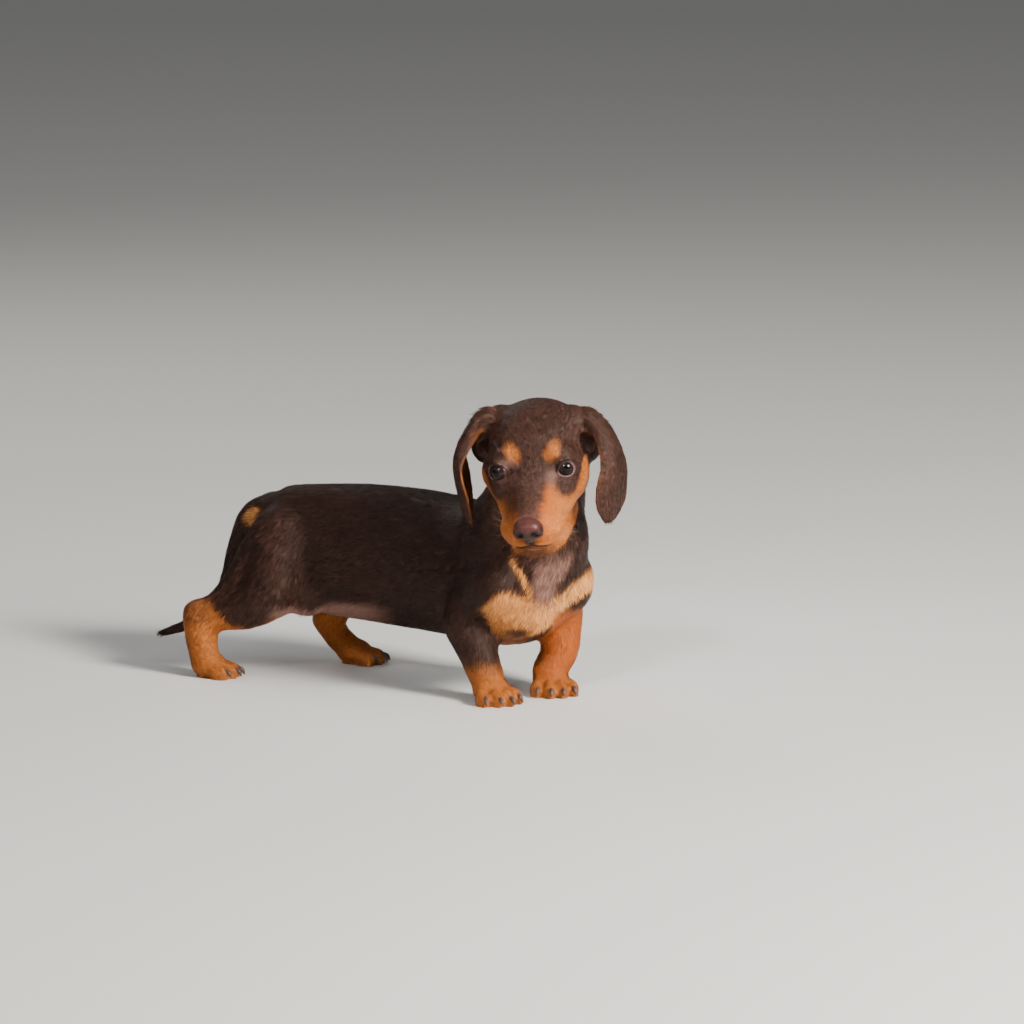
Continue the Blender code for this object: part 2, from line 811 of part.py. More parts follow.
def build_body(work, parts, head_matrix):
    """Trunk, neck, head mass, legs, paws and tail melted into one, standing on flat soles."""
    build_head_mass(work)
    head = fused(work, "head_mass", parts, 1.4, 9)
    head.data.transform(to_metres(head_matrix))
    build_trunk(work)
    build_forelegs(work)
    build_hindlegs(work)
    trunk = bend(fused(work, "trunk_mass", parts, 2.0, 16))
    build_neck(work, head_matrix)
    move_into(work, [trunk])
    trunk = fused(work, "trunk_mass", parts, 2.0, 14)
    build_tail(work)
    for paw in PAWS.values():
        build_paw(work, *paw)
        build_claws(work, *paw)
    for obj in list(work.objects):
        bend(obj)
    move_into(work, [trunk, head])
    return level_soles(work, fused(work, "body", parts, VOXEL, 3), 0.0)


def level_soles(work, body, height):
    """Cuts all that is below a height away, which leaves the flat soles."""
    boolean(body, box(work, (-500, -300, -60), (300, 300, height)), "DIFFERENCE")
    bpy.data.objects.remove(work.objects[0])
    return body


def skull_region(work, head_matrix, margin=0.0):
    """All that is above and before the slanting plane from the nape to the back of the jaw."""
    return region(work, (-90, -90, -margin), (100, 90, 120), (0, 38, 0), (-36, 0, -27), head_matrix)


def part_body(work, parts, body, head_matrix):
    """The cuts between the named parts, each a flat plane where one part ends and the next begins."""
    nodes = {}
    nodes["head"] = take(body, parts, work, "head", skull_region(work, head_matrix))
    collar = region(work, (-85, -75, 0), (85, 75, 130), (0, 31, 0), (2, 0, 112))
    nodes["neck"] = take(body, parts, work, "neck", collar)
    rear = region(work, (-90, -12.5, -110), (20, 14, 0), (0, 30, 0), (-221, 0, 103))
    nodes["tail"] = take(body, parts, work, "tail", rear)
    for name, low, high in (
        ("forepaw_right", (-28, -80, -2), (60, -1, 22)),
        ("forepaw_left", (-28, 1, -2), (60, 80, 22)),
        ("hindpaw_right", (-285, -80, -2), (-205, -14, 28)),
        ("hindpaw_left", (-198, 16, -2), (-120, 80, 22)),
    ):
        nodes[name] = take(body, parts, work, name, region(work, low, high))
    for side, name in ((-1, "foreleg_right"), (1, "foreleg_left")):
        spans = sorted((side * -22, side * 70))
        arm = region(work, (-28, spans[0], -75), (27, spans[1], 0), (side * 40, 0, 0), (-8, side * 16, 37))
        nodes[name] = take(body, parts, work, name, arm)
    shank = region(work, (-80, -50, -60), (0, 50, 22), (0, -12, 0), (-215, -38, 52))
    nodes["shank_right"] = take(body, parts, work, "shank_right", shank)
    shank = region(work, (-18, -18, -60), (34, 50, 0), (0, 45, 0), (-165, 35, 48))
    nodes["shank_left"] = take(body, parts, work, "shank_left", shank)
    thigh = region(work, (-52, -60, -60), (27, 0, 34), (-12, -8, 0), (-199, -16, 72))
    nodes["thigh_right"] = take(body, parts, work, "thigh_right", thigh)
    thigh = region(work, (-60, 0, -60), (32, 60, 34), (12, -28, 0), (-180, 16, 72))
    nodes["thigh_left"] = take(body, parts, work, "thigh_left", thigh)
    body.name = "torso"
    nodes["torso"] = body
    return nodes


def carve_head(work, parts, head, head_matrix):
    """Lids round each eye, the line of the mouth and the hollow under each ear, on the parted head."""
    boolean(head, skull_region(work, head_matrix, 4.0)[0][0], "INTERSECT")
    for obj in list(work.objects):
        bpy.data.objects.remove(obj)
    head.data.transform(to_metres(head_matrix.inverted()))
    build_lids(work)
    move_into(work, [head])
    head = fused(work, "head", parts, 0.8, 3)
    build_mouth(work, head)
    for side in (-1, 1):
        build_eye_opening(work, side)
        centre = (EYE_AT[0], side * EYE_AT[1], EYE_AT[2])
        ellipsoid(work, centre, (EYE_RADIUS + 0.6,) * 3, segments=48)
        ellipsoid(work, (-24, side * 33, 3), (5, 8, 8), turn=(side * -30, 0, 0), segments=24)
    for cutter in list(work.objects):
        boolean(head, cutter, "DIFFERENCE")
        bpy.data.objects.remove(cutter)
    head.data.transform(to_metres(head_matrix))
    thin_out(head, TRIANGLES["head"])
    boolean(head, skull_region(work, head_matrix)[0][0], "INTERSECT")
    for obj in list(work.objects):
        bpy.data.objects.remove(obj)
    return head


def main():
    clear_scene()
    work = bpy.data.collections.new("shapes")
    parts = bpy.data.collections.new("dachshund_puppy")
    bpy.context.scene.collection.children.link(work)
    bpy.context.scene.collection.children.link(parts)
    head_matrix = head_frame()
    nose = build_nose(parts, work)
    nose.data.transform(to_metres(head_matrix))
    thin_out(nose, TRIANGLES["nose"])
    body = build_body(work, parts, head_matrix)
    head = carve_head(work, parts, copy_of(body, parts), head_matrix)
    level_soles(work, thin_out(body, TRIANGLES["body"]), 0.15)
    nodes = part_body(work, parts, body, head_matrix)
    bpy.data.objects.remove(nodes["head"])
    nodes["head"] = head
    boolean(head, grown_copy(nose, work, 0.35), "DIFFERENCE")
    for side in (-1, 1):
        eye = build_eye(parts, side)
        boolean(head, grown_copy(eye, work, 0.3), "DIFFERENCE")
        nodes[eye.name] = eye
    wider = grown_copy(head, work, 0.35)
    for side, path, spread, widths, cups in EARS:
        ear = build_ear(parts, side, path, spread, widths, cups)
        boolean(ear, wider, "DIFFERENCE")
        nodes[ear.name] = ear
    nodes["nose"] = nose
    for obj in list(work.objects):
        bpy.data.objects.remove(obj)
    bpy.data.collections.remove(work)
    coat = new_material("short coat, dark chocolate", CHOCOLATE, 0.62)
    tan = new_material("short coat, tan", TAN, 0.66)
    leather = new_material("nose leather, liver", LIVER, 0.34)
    eyeball = new_material("eye, dark brown", EYE_BROWN, 0.08)
    for name, node in sorted(nodes.items()):
        node.name = name
        node.data.name = name
        kind = name.split("_")[0]
        base = {"nose": leather, "eye": eyeball, "forepaw": tan, "hindpaw": tan, "shank": tan}.get(kind, coat)
        own = base.copy()
        own.name = name + ", " + base.name
        node.data.materials.clear()
        node.data.materials.append(own)
        node.data.shade_smooth()
        print(name, len(node.data.polygons))
    for spare in (coat, tan, leather, eyeball):
        bpy.data.materials.remove(spare)
    settle(list(nodes.values()))


def settle(objects):
    """The origin goes under the middle of the whole, on the ground, and each node takes its own place."""
    corners = np.concatenate([np.array([v.co[:] for v in obj.data.vertices]) for obj in objects])
    low, high = corners.min(axis=0), corners.max(axis=0)
    middle = Vector(((low[0] + high[0]) / 2, (low[1] + high[1]) / 2, low[2]))
    for obj in objects:
        obj.data.transform(Matrix.Translation(-middle))
        points = np.array([v.co[:] for v in obj.data.vertices])
        centre = Vector((points.min(axis=0) + points.max(axis=0)) / 2)
        obj.data.transform(Matrix.Translation(-centre))
        obj.location = centre
    print("origin", [round(v / MM, 3) for v in middle], "size", (high - low) / MM)


main()
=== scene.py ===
import math

import bmesh
import bpy
import numpy as np
from mathutils import Euler, Matrix, Vector
from mathutils.bvhtree import BVHTree
from mathutils.kdtree import KDTree


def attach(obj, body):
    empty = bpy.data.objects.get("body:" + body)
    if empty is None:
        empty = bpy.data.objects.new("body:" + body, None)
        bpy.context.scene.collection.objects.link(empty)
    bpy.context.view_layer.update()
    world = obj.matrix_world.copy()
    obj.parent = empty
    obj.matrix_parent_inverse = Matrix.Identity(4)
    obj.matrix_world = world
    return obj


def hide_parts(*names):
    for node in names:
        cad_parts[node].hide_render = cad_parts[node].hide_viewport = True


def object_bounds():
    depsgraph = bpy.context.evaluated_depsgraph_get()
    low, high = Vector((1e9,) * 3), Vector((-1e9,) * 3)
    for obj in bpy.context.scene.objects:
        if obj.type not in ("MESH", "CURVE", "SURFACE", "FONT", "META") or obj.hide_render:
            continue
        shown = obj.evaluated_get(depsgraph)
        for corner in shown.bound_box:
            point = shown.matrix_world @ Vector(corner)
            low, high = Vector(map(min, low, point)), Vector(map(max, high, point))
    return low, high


# A standing dachshund puppy, smooth coated, chocolate and tan, life size.
# Lengths in the dictionaries are millimetres; the scene itself is in metres.
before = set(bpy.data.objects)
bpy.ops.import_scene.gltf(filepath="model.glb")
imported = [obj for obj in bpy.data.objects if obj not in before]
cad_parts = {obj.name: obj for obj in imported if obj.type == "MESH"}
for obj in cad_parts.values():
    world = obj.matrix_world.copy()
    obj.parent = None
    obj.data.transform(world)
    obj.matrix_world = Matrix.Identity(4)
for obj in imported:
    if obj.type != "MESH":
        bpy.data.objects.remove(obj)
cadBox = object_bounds()
mm = 0.001
rng = np.random.default_rng(7)
fleshNodes = sorted(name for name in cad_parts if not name.startswith(("eye", "nose")))

# how the solid part stands: the bend of its spine in plan, where it was set down, and its head
stance = {
    "shift": (99.959, 11.588, -0.15),
    "rumpHeading": 20.0,
    "chestHeading": -25.0,
    "bendBack": -130.0,
    "bendFront": -10.0,
    "headAt": (40.0, -44.0, 164.0),
    "headTurn": (5.5, 23.0, -62.0),
}

shift = np.array(stance["shift"])
headFrame = Matrix.Translation(Vector(stance["headAt"]) + Vector(stance["shift"]))
headFrame = headFrame @ Euler([math.radians(a) for a in stance["headTurn"]]).to_matrix().to_4x4()
headTurn = np.array(headFrame.to_3x3())
headPlace = np.array(headFrame.translation)


def spineTable():
    reach = np.linspace(-340, 120, 921)
    share = np.clip((reach - stance["bendBack"]) / (stance["bendFront"] - stance["bendBack"]), 0, 1)
    share = share * share * (3 - 2 * share)
    turned = stance["rumpHeading"] + (stance["chestHeading"] - stance["rumpHeading"]) * share
    heading = np.radians(turned)
    step = reach[1] - reach[0]
    x = np.cumsum(np.cos(heading)) * step
    y = np.cumsum(np.sin(heading)) * step
    return reach, x - np.interp(0, reach, x), y - np.interp(0, reach, y), heading


spine = spineTable()


# along, across and above the dog as if its spine were straight, for points of the scene
def toStraight(points):
    reach, spineX, spineY, heading = spine
    flat = points[:, :2] - shift[:2]
    guess = np.empty(len(flat))
    for start in range(0, len(flat), 20000):
        some = flat[start : start + 20000]
        gap = (some[:, :1] - spineX[::8]) ** 2 + (some[:, 1:] - spineY[::8]) ** 2
        guess[start : start + 20000] = reach[::8][gap.argmin(axis=1)]
    for _ in range(4):
        turn = np.interp(guess, reach, heading)
        dx = flat[:, 0] - np.interp(guess, reach, spineX)
        dy = flat[:, 1] - np.interp(guess, reach, spineY)
        guess += 0.9 * (dx * np.cos(turn) + dy * np.sin(turn))
    turn = np.interp(guess, reach, heading)
    across = dy * np.cos(turn) - dx * np.sin(turn)
    return np.stack([guess, across, points[:, 2] - shift[2]], axis=1)


def toBent(points):
    reach, spineX, spineY, heading = spine
    x, y, z = np.asarray(points, float).reshape(-1, 3).T
    turn = np.interp(x, reach, heading)
    bentX = np.interp(x, reach, spineX) - y * np.sin(turn)
    bentY = np.interp(x, reach, spineY) + y * np.cos(turn)
    return np.stack([bentX, bentY, z], axis=1) + shift


# directions given along, across and above the straight dog, turned the way its spine points there
def turnedAlong(straight, direction):
    turn = np.interp(straight[:, 0], spine[0], spine[3])
    x, y, z = direction.T
    return np.stack([x * np.cos(turn) - y * np.sin(turn), x * np.sin(turn) + y * np.cos(turn), z], axis=1)


def toHead(points):
    return (points - headPlace) @ headTurn


def fromHead(points):
    return np.asarray(points, float).reshape(-1, 3) @ headTurn.T + headPlace


def unit(vectors):
    return vectors / np.maximum(np.linalg.norm(vectors, axis=1), 1e-9)[:, None]


def ramp(value, low, high):
    share = np.clip((value - low) / (high - low), 0, 1)
    return share * share * (3 - 2 * share)


# 1 well inside an ellipsoid, 0 well outside it, and soft over the last part of its radius
def blob(points, centre, radii, soft=0.3):
    far = np.linalg.norm((points - np.array(centre)) / np.array(radii), axis=1)
    return 1 - ramp(far, 1 - soft, 1 + soft)


# smooth wandering values between -1 and 1
def wander(points, size, seed):
    turns = np.random.default_rng(seed)
    total = np.zeros(len(points))
    for octave in range(3):
        for _ in range(4):
            wave = turns.normal(size=3) * (2.2 * 2**octave / size)
            total += np.sin(points @ wave + turns.uniform(0, 6.28)) / (4 * 1.6**octave)
    return np.clip(total, -1, 1)


def pointsOf(mesh):
    flat = np.empty(len(mesh.vertices) * 3)
    mesh.vertices.foreach_get("co", flat)
    return flat.reshape(-1, 3) / mm


def normalsOf(mesh):
    flat = np.empty(len(mesh.vertices) * 3, np.float32)
    mesh.vertex_normals.foreach_get("vector", flat)
    return flat.reshape(-1, 3).astype(float)


def setPoints(mesh, points):
    mesh.vertices.foreach_set("co", (points * mm).ravel())
    mesh.update()


def setValues(mesh, name, values):
    layer = mesh.attributes.get(name) or mesh.attributes.new(name, "FLOAT", "POINT")
    layer.data.foreach_set("value", np.asarray(values, np.float32).ravel())


def newPiece(name, mesh, finish=None):
    made = bpy.data.objects.new(name, mesh)
    bpy.context.scene.collection.objects.link(made)
    if finish:
        mesh.materials.append(finish)
    return made


def meshFrom(name, points, faces):
    mesh = bpy.data.meshes.new(name)
    mesh.from_pydata((np.asarray(points) * mm).tolist(), [], faces)
    mesh.shade_smooth()
    return mesh


def applied(piece):
    graph = bpy.context.evaluated_depsgraph_get()
    mesh = bpy.data.meshes.new_from_object(piece.evaluated_get(graph))
    piece.modifiers.clear()
    piece.data = mesh
    return piece


# the mesh of what was built, which is let go after it
def meshOf(build, name):
    mesh = bpy.data.meshes.new(name)
    build.to_mesh(mesh)
    build.free()
    return mesh


# a piece turned into one even closed surface, with the steps taken off it
def melted(piece, voxel):
    melt = piece.modifiers.new("melt", "REMESH")
    melt.mode = "VOXEL"
    melt.voxel_size = voxel * mm
    soften = piece.modifiers.new("soften", "SMOOTH")
    soften.factor = 0.5
    soften.iterations = 4
    return applied(piece)


# finds the nearest spot of a mesh whose points are given in millimetres
def surfaceTree(mesh, points):
    faces = [tuple(polygon.vertices) for polygon in mesh.polygons]
    return BVHTree.FromPolygons([tuple(point) for point in points.tolist()], faces)


# points of the head with its right side laid over its left
def foldedHead(head):
    return np.stack([head[:, 0], abs(head[:, 1]), head[:, 2]], axis=1)


def smoothPath(points, count):
    points = np.array(points, float)
    ends = np.concatenate([[2 * points[0] - points[1]], points, [2 * points[-1] - points[-2]]])
    fine = []
    for a, b, c, d in zip(ends[:-3], ends[1:-2], ends[2:-1], ends[3:]):
        for t in np.linspace(0, 1, 12, endpoint=False):
            bow = (2 * a - 5 * b + 4 * c - d) * t**2 + (3 * b - a - 3 * c + d) * t**3
            fine.append(0.5 * (2 * b + (c - a) * t + bow))
    fine = np.array(fine + [points[-1]])
    length = np.concatenate([[0], np.cumsum(np.linalg.norm(np.diff(fine[:, :3], axis=0), axis=1))])
    wanted = np.linspace(0, length[-1], count)
    return np.stack([np.interp(wanted, length, column) for column in fine.T], axis=1)


# round tapering rods through (x, y, z, radius) points, each closed at both ends
def rods(paths, sides):
    points, faces = [], []
    for path in paths:
        path = np.asarray(path, float)
        run = unit(np.gradient(path[:, :3], axis=0))
        first = unit(np.cross(run, [[0.3, 0.2, 0.93]]))
        second = np.cross(run, first)
        start = len(points)
        for place, one, two, radius in zip(path[:, :3], first, second, path[:, 3]):
            for side in range(sides):
                angle = 2 * math.pi * side / sides
                points.append(place + radius * (math.cos(angle) * one + math.sin(angle) * two))
        for ring in range(len(path) - 1):
            low = start + ring * sides
            for side in range(sides):
                after = (side + 1) % sides
                faces.append((low + side, low + after, low + sides + after, low + sides + side))
        faces.append(tuple(reversed(range(start, start + sides))))
        faces.append(tuple(range(len(points) - sides, len(points))))
    return points, faces


# the eyes, in the head's own frame: x the way it looks, y to its left, z up
eyeSet = {
    "at": (0.0, 21.6, 0.0),
    "radius": 7.6,
    "rise": 14.0,
    "outward": 20.0,
    "openings": {-1: (14.2, 10.6), 1: (9.4, 9.2)},
    "iris": 4.9,
    "pupil": 2.5,
    "cornea": 0.45,
}

def eyeAxis(side):
    x, y, z = eyeSet["at"]
    turn = Euler((0, -math.radians(eyeSet["rise"]), side * math.radians(eyeSet["outward"])))
    return Matrix.Translation((x, side * y, z)) @ turn.to_matrix().to_4x4()


# points of the scene in an eye's own frame, whose x is its gaze
def toEye(points, side):
    back = np.array((headFrame @ eyeAxis(side)).inverted())
    return points @ back[:3, :3].T + back[:3, 3]


def fromEye(points, side):
    out = np.array(headFrame @ eyeAxis(side))
    return np.asarray(points) @ out[:3, :3].T + out[:3, 3]


# how far out of the almond of the lids a point is: 1 on its edge
def outOfOpening(local, side):
    width, height = eyeSet["openings"][side]
    across = -side * local[:, 1] / (width / 2)
    up = (local[:, 2] - 0.2) / (height / 2)
    inward = np.clip(across, 0, None)
    up = up + 0.14 * inward**3
    across = across / (1 + 0.16 * inward**2)
    return np.hypot(across, up)


# the skin: every fleshy solid melted into one, drawn in by the depth of the coat
skinSet = {
    "closes": 0.45,
    "voxel": 1.0,
    "eyeFill": 8.7,
    "depths": {
        "head": 0.55,
        "ear": 0.45,
        "neck": 1.1,
        "torso": 0.9,
        "thigh": 0.8,
        "shank": 0.6,
        "foreleg": 0.7,
        "forepaw": 0.45,
        "hindpaw": 0.45,
        "tail": 0.7,
    },
    "faceFine": (-14, 36, -51, 24),
    "tips": {"ear_left": (-4, 46.1, -47.8), "ear_right": (-6, -50.4, -43.1)},
    "jaw": ((14, 24, -24), (24, 11, 15)),
    "lip": ((40, 5, -36.5), (13, 22, 5)),
}


def meltFlesh():
    build = bmesh.new()
    for name in fleshNodes:
        part = bmesh.new()
        part.from_mesh(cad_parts[name].data)
        bmesh.ops.remove_doubles(part, verts=part.verts, dist=1e-6)
        bmesh.ops.recalc_face_normals(part, faces=part.faces)
        part.normal_update()
        for vert in part.verts:
            vert.co += vert.normal * (skinSet["closes"] * mm)
        spare = meshOf(part, "spare")
        build.from_mesh(spare)
        bpy.data.meshes.remove(spare)
    for side in (-1, 1):
        middle = headFrame @ eyeAxis(side) @ Vector((0, 0, 0))
        place = Matrix.Translation(middle * mm)
        bmesh.ops.create_icosphere(build, subdivisions=4, radius=skinSet["eyeFill"] * mm, matrix=place)
    build.from_mesh(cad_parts["nose"].data)
    return melted(newPiece("skin", meshOf(build, "skin")), skinSet["voxel"])


def refineFace(skin):
    back, wide, low, high = skinSet["faceFine"]
    build = bmesh.new()
    build.from_mesh(skin.data)
    local = toHead(pointsOf(skin.data))
    inside = (local[:, 0] > back) & (abs(local[:, 1]) < wide) & (local[:, 2] > low) & (local[:, 2] < high)
    build.verts.ensure_lookup_table()
    edges = [e for e in build.edges if inside[e.verts[0].index] and inside[e.verts[1].index]]
    made = bmesh.ops.subdivide_edges(build, edges=edges, cuts=1, use_grid_fill=True)
    near = {item for item in made["geom"] if isinstance(item, bmesh.types.BMVert)}
    near |= {v for e in edges if e.is_valid for v in e.verts}
    axes = {"use_axis_x": True, "use_axis_y": True, "use_axis_z": True}
    for _ in range(3):
        bmesh.ops.smooth_vert(build, verts=list(near), factor=0.5, **axes)
    build.to_mesh(skin.data)
    build.free()


# which solid each point of the skin belongs to
def nearestNode(points):
    corners, faces, owner = [], [], []
    for number, name in enumerate(fleshNodes):
        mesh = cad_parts[name].data
        start = len(corners)
        corners.extend(v.co[:] for v in mesh.vertices)
        for polygon in mesh.polygons:
            faces.append([start + v for v in polygon.vertices])
            owner.append(number)
    tree = BVHTree.FromPolygons(corners, faces)
    return np.array([owner[tree.find_nearest(point)[2]] for point in (points * mm).tolist()])


# values or directions evened out over the skin, along its edges
def evened(mesh, values, times):
    ends = np.empty(len(mesh.edges) * 2, np.int64)
    mesh.edges.foreach_get("vertices", ends)
    one, two = ends.reshape(-1, 2).T
    count = len(mesh.vertices)
    near = np.bincount(one, minlength=count) + np.bincount(two, minlength=count)
    values = np.asarray(values, float).reshape(count, -1)
    for _ in range(times):
        total = np.stack(
            [
                np.bincount(one, column[two], count) + np.bincount(two, column[one], count)
                for column in values.T
            ],
            axis=1,
        )
        values = 0.5 * values + 0.5 * total / np.maximum(near, 1)[:, None]
    return values


def byNode(table, default=0.0):
    return np.array([table.get(name, table.get(name.split("_")[0], default)) for name in fleshNodes])


def nearPath(points, path):
    best = np.full(len(points), 1e9)
    for place in path:
        best = np.minimum(best, np.linalg.norm(points - place, axis=1))
    return best


# the nose leather, in the head's own frame, and how far skin and coat give way to it
noseSet = {
    "at": (48.5, 0.0, -16.5),
    "voxel": 0.36,
    "dentBack": 1.0,
    "dent": (7.5, 9.0, 8.0),
    "dentDepth": 1.1,
    "bare": (8.2, 10.5, 9.0),
    "nostril": ((7.0, 4.6, -0.6), (3.8, 2.6, 2.7), 0.35),
    "slit": ((4.6, 7.9, -2.4), (3.0, 2.6, 1.2), 0.4),
    "dark": (0.045, 0.013, 0.012, 1),
    "light": (0.085, 0.026, 0.022, 1),
    # painted shade on the lower part and the sides of the nose leather
    "under": (0.022, 0.008, 0.007, 1),
    "inside": (0.006, 0.003, 0.003, 1),
}

mouthSet = {
    "lips": [
        (45.8, 4, -30.7),
        (42.3, 10.5, -32.6),
        (35.5, 15.5, -34.6),
        (26, 20, -36.0),
        (15, 23.5, -35.0),
        (4, 27, -31.5),
    ],
    "middle": (47.2, 0, -30.1),
    "groove": [(50, 0, -24.5), (49.4, 0, -27.2), (48.1, 0, -29.8)],
    "depth": 1.0,
    "swell": 0.4,
    "chin": (-34.5, 0.4),
    "squeeze": 0.3,
}


def carveFace(mesh, points, normals):
    head = toHead(points)
    onFace = (head[:, 0] > -20) & (abs(head[:, 1]) < 40) & (head[:, 2] > -55) & (head[:, 2] < 30)
    face = points[onFace]
    push = np.zeros(len(face))
    tree = surfaceTree(mesh, points)

    # the line of the mouth is pressed in and the lips swell beside it
    sides = mouthSet["lips"]
    mirrored = [(x, -y, z) for x, y, z in reversed(sides)]
    lines = []
    for line in (mirrored + [mouthSet["middle"]] + sides, mouthSet["groove"]):
        path = fromHead(smoothPath(line, 90))
        lines.append(np.array([tree.find_nearest(p)[0][:] for p in path.tolist()]))
    mouth = nearPath(face, np.concatenate(lines))
    push -= mouthSet["depth"] * np.exp(-((mouth / 0.9) ** 2))
    push += mouthSet["swell"] * np.exp(-(((mouth - 2.1) / 1.1) ** 2))
    face = face + normals[onFace] * push[:, None]

    # inside the almond of the lids the skin sinks behind the eyeball, and around it stands off the ball
    for side in (-1, 1):
        local = toEye(face, side)
        out = outOfOpening(local, side)
        near = (local[:, 0] > 0) & (out < 2.6)
        radius = np.linalg.norm(local, axis=1)
        rim = eyeSet["radius"] + 0.75
        wanted = np.where(out < 1.0, eyeSet["radius"] - 1.3, radius)
        ring = (out >= 1.0) & (out < 1.5)
        share = ramp(out, 1.0, 1.12)
        lidEdge = (eyeSet["radius"] - 1.3) * (1 - share) + np.maximum(rim, radius - 0.4) * share
        wanted = np.where(ring, lidEdge, wanted)
        grow = np.where(near, wanted / np.maximum(radius, 1e-6), 1.0)
        face = fromEye(local * grow[:, None], side)
    points = points.copy()
    points[onFace] = face

    # the chin comes up and back, the left jaw is drawn in, and the skin gives way under the nose
    level, slimmer = mouthSet["chin"]
    chin = ramp(head[:, 0], 8, 26) * np.clip(level - head[:, 2], 0, None) * (1 - slimmer)
    chin = np.where(head[:, 2] > -60, chin, 0.0) * (abs(head[:, 1]) < 40)
    points = points + (headTurn[:, 2] - 0.5 * headTurn[:, 0]) * chin[:, None]
    left = mouthSet["squeeze"] * np.clip(head[:, 1] - 8, 0, None) * ramp(-head[:, 2], 22, 38)
    left = left * ramp(head[:, 0], -10, 8) * (1 - ramp(-head[:, 2], 48, 56)) * (head[:, 1] < 36)
    points = points - headTurn[:, 1] * left[:, None]
    onNose = blob(head, np.array(noseSet["at"]) - (noseSet["dentBack"], 0, 0), noseSet["dent"], 0.25)
    points = points - normals * (noseSet["dentDepth"] * onNose)[:, None]
    lip = np.full(len(points), 99.0)
    lip[onFace] = mouth
    return points, lip


# the tan points and the pale patches, with some painted shade and painted highlights, on the head in its
# own frame and elsewhere on the straight dog
markSet = {
    "brows": ((0.5, 13.0, 12.4), (8.5, 5.3, 6.4)),
    "browMiddle": 1.6,
    "browSlant": 0.35,
    "tanTop": ([0, 7, 15, 20, 27, 29.5, 33, 36], [-1.5, -1.5, -4, -12.5, -13.5, -8, 0, 1.5]),
    "tanBack": (-25, -15),
    "bridge": ([8, 16, 26, 36, 46], [11, 10, 8.6, 7.4, 6.4]),
    "underEye": ((6, 22, -5), (13, 8.6, 9.0)),
    "innerCorner": ((11, 13, -2), (6, 4, 4.5)),
    # painted shade on the dog's right side of the muzzle; the far cheek is dark, partly painted shade and
    # partly dark coat
    "shadedSide": ((19, -12, -7), (19, 9, 12)),
    "farCheek": ((-13, -31, -42), (18, 11, 12)),
    "mouth": ([4, 15, 26, 35.5, 42.3, 45.8, 47.2], [-31.5, -35, -36, -34.6, -32.6, -30.7, -30.1]),
    # a painted highlight on the upper lid of the right eye
    "lidHighlight": ((5, -17.5, 7.2), (6, 6.5, 2.8)),
    "philtrum": ((49, 0, -26.5), (5, 3.4, 4)),
    "chestTop": (
        [-45, -42, -38, -30, -18, -10, -3, 5, 15, 30, 42],
        [62, 70, 79, 82, 79, 76, 73, 77, 84, 90, 92],
    ),
    "chestLow": (
        [-45, -42, -37, -30, -22, -17, -8, 0, 7, 16, 25, 42],
        [68, 67, 61, 52, 41, 40, 42, 47, 54, 64, 70, 76],
    ),
    "throatBand": [(29, -26, 108), (31, -23.4, 101), (35, -18, 90), (37, -13, 78)],
    "throatMiddle": ([60, 70, 84, 98, 112], [-1, -3, -5, 0, 2]),
    # painted shade low on the left foreleg
    "legPaintedShade": ((-4, 10, 24), (12, 9, 14)),
    "smudge": ((24, -14, 48), (12, 8, 5)),
    "hindTop": ([-250, -240, -232, -225, -210, -200, -192, -186], [58, 56, 50, 40, 37, 40, 46, 44]),
    "underTail": ((-217, -12, 109), (8, 3.4, 8.5)),
    "ragged": 1.5,
}


def headTan(head, facing, rough):
    x, y, z = head.T
    side = abs(y)
    mirrored = foldedHead(head)
    top = np.interp(side, *markSet["tanTop"]) + rough
    tan = (1 - ramp(z, top - 2.2, top + 2.2)) * ramp(x, *markSet["tanBack"])
    tan = tan * ramp(facing @ np.array([0.8, 0, 0.6]), -0.42, -0.08)
    wide = np.interp(x, *markSet["bridge"]) + 0.8 * rough
    bridge = (1 - ramp(side, wide - 3.6, wide + 3.6)) * ramp(z, -29, -21) * (1 - 0.12 * ramp(x, 20, 38))
    tan = tan * (1 - 0.94 * bridge) * (1 - 0.92 * blob(mirrored, *markSet["underEye"], 0.85))
    # painted shade darkens the tan on the dog's right side of the muzzle; on the far cheek the tan gives
    # way to dark coat, partly painted shade and partly the dark neck
    tan = tan * (1 - 0.72 * blob(head, *markSet["shadedSide"], 0.75))
    tan = tan * (1 - 0.9 * blob(head, *markSet["farCheek"], 0.5))
    below = np.interp(x, *markSet["mouth"]) - z
    lip = ramp(below, 0.0, 0.8) * (1 - ramp(below, 3.2, 4.6)) * ramp(x, 20, 30)
    # the lower lip is darker, and under the chin, below the tan rim of the lip, the tan gives way to dark
    # coat as painted shadow
    tan = tan * (1 - 0.6 * lip) * (1 - 0.9 * ramp(below, 6.0, 8.5) * ramp(x, 2, 12))
    tan = tan * (1 - 0.8 * blob(head, *markSet["philtrum"], 0.5))
    beside = abs(y - markSet["browMiddle"])
    centre, radii = markSet["brows"]
    slanted = np.stack([x, beside - markSet["browSlant"] * (z - centre[2]) + 0.7 * rough, z], axis=1)
    return np.maximum(tan, blob(slanted, centre, radii, 0.6))


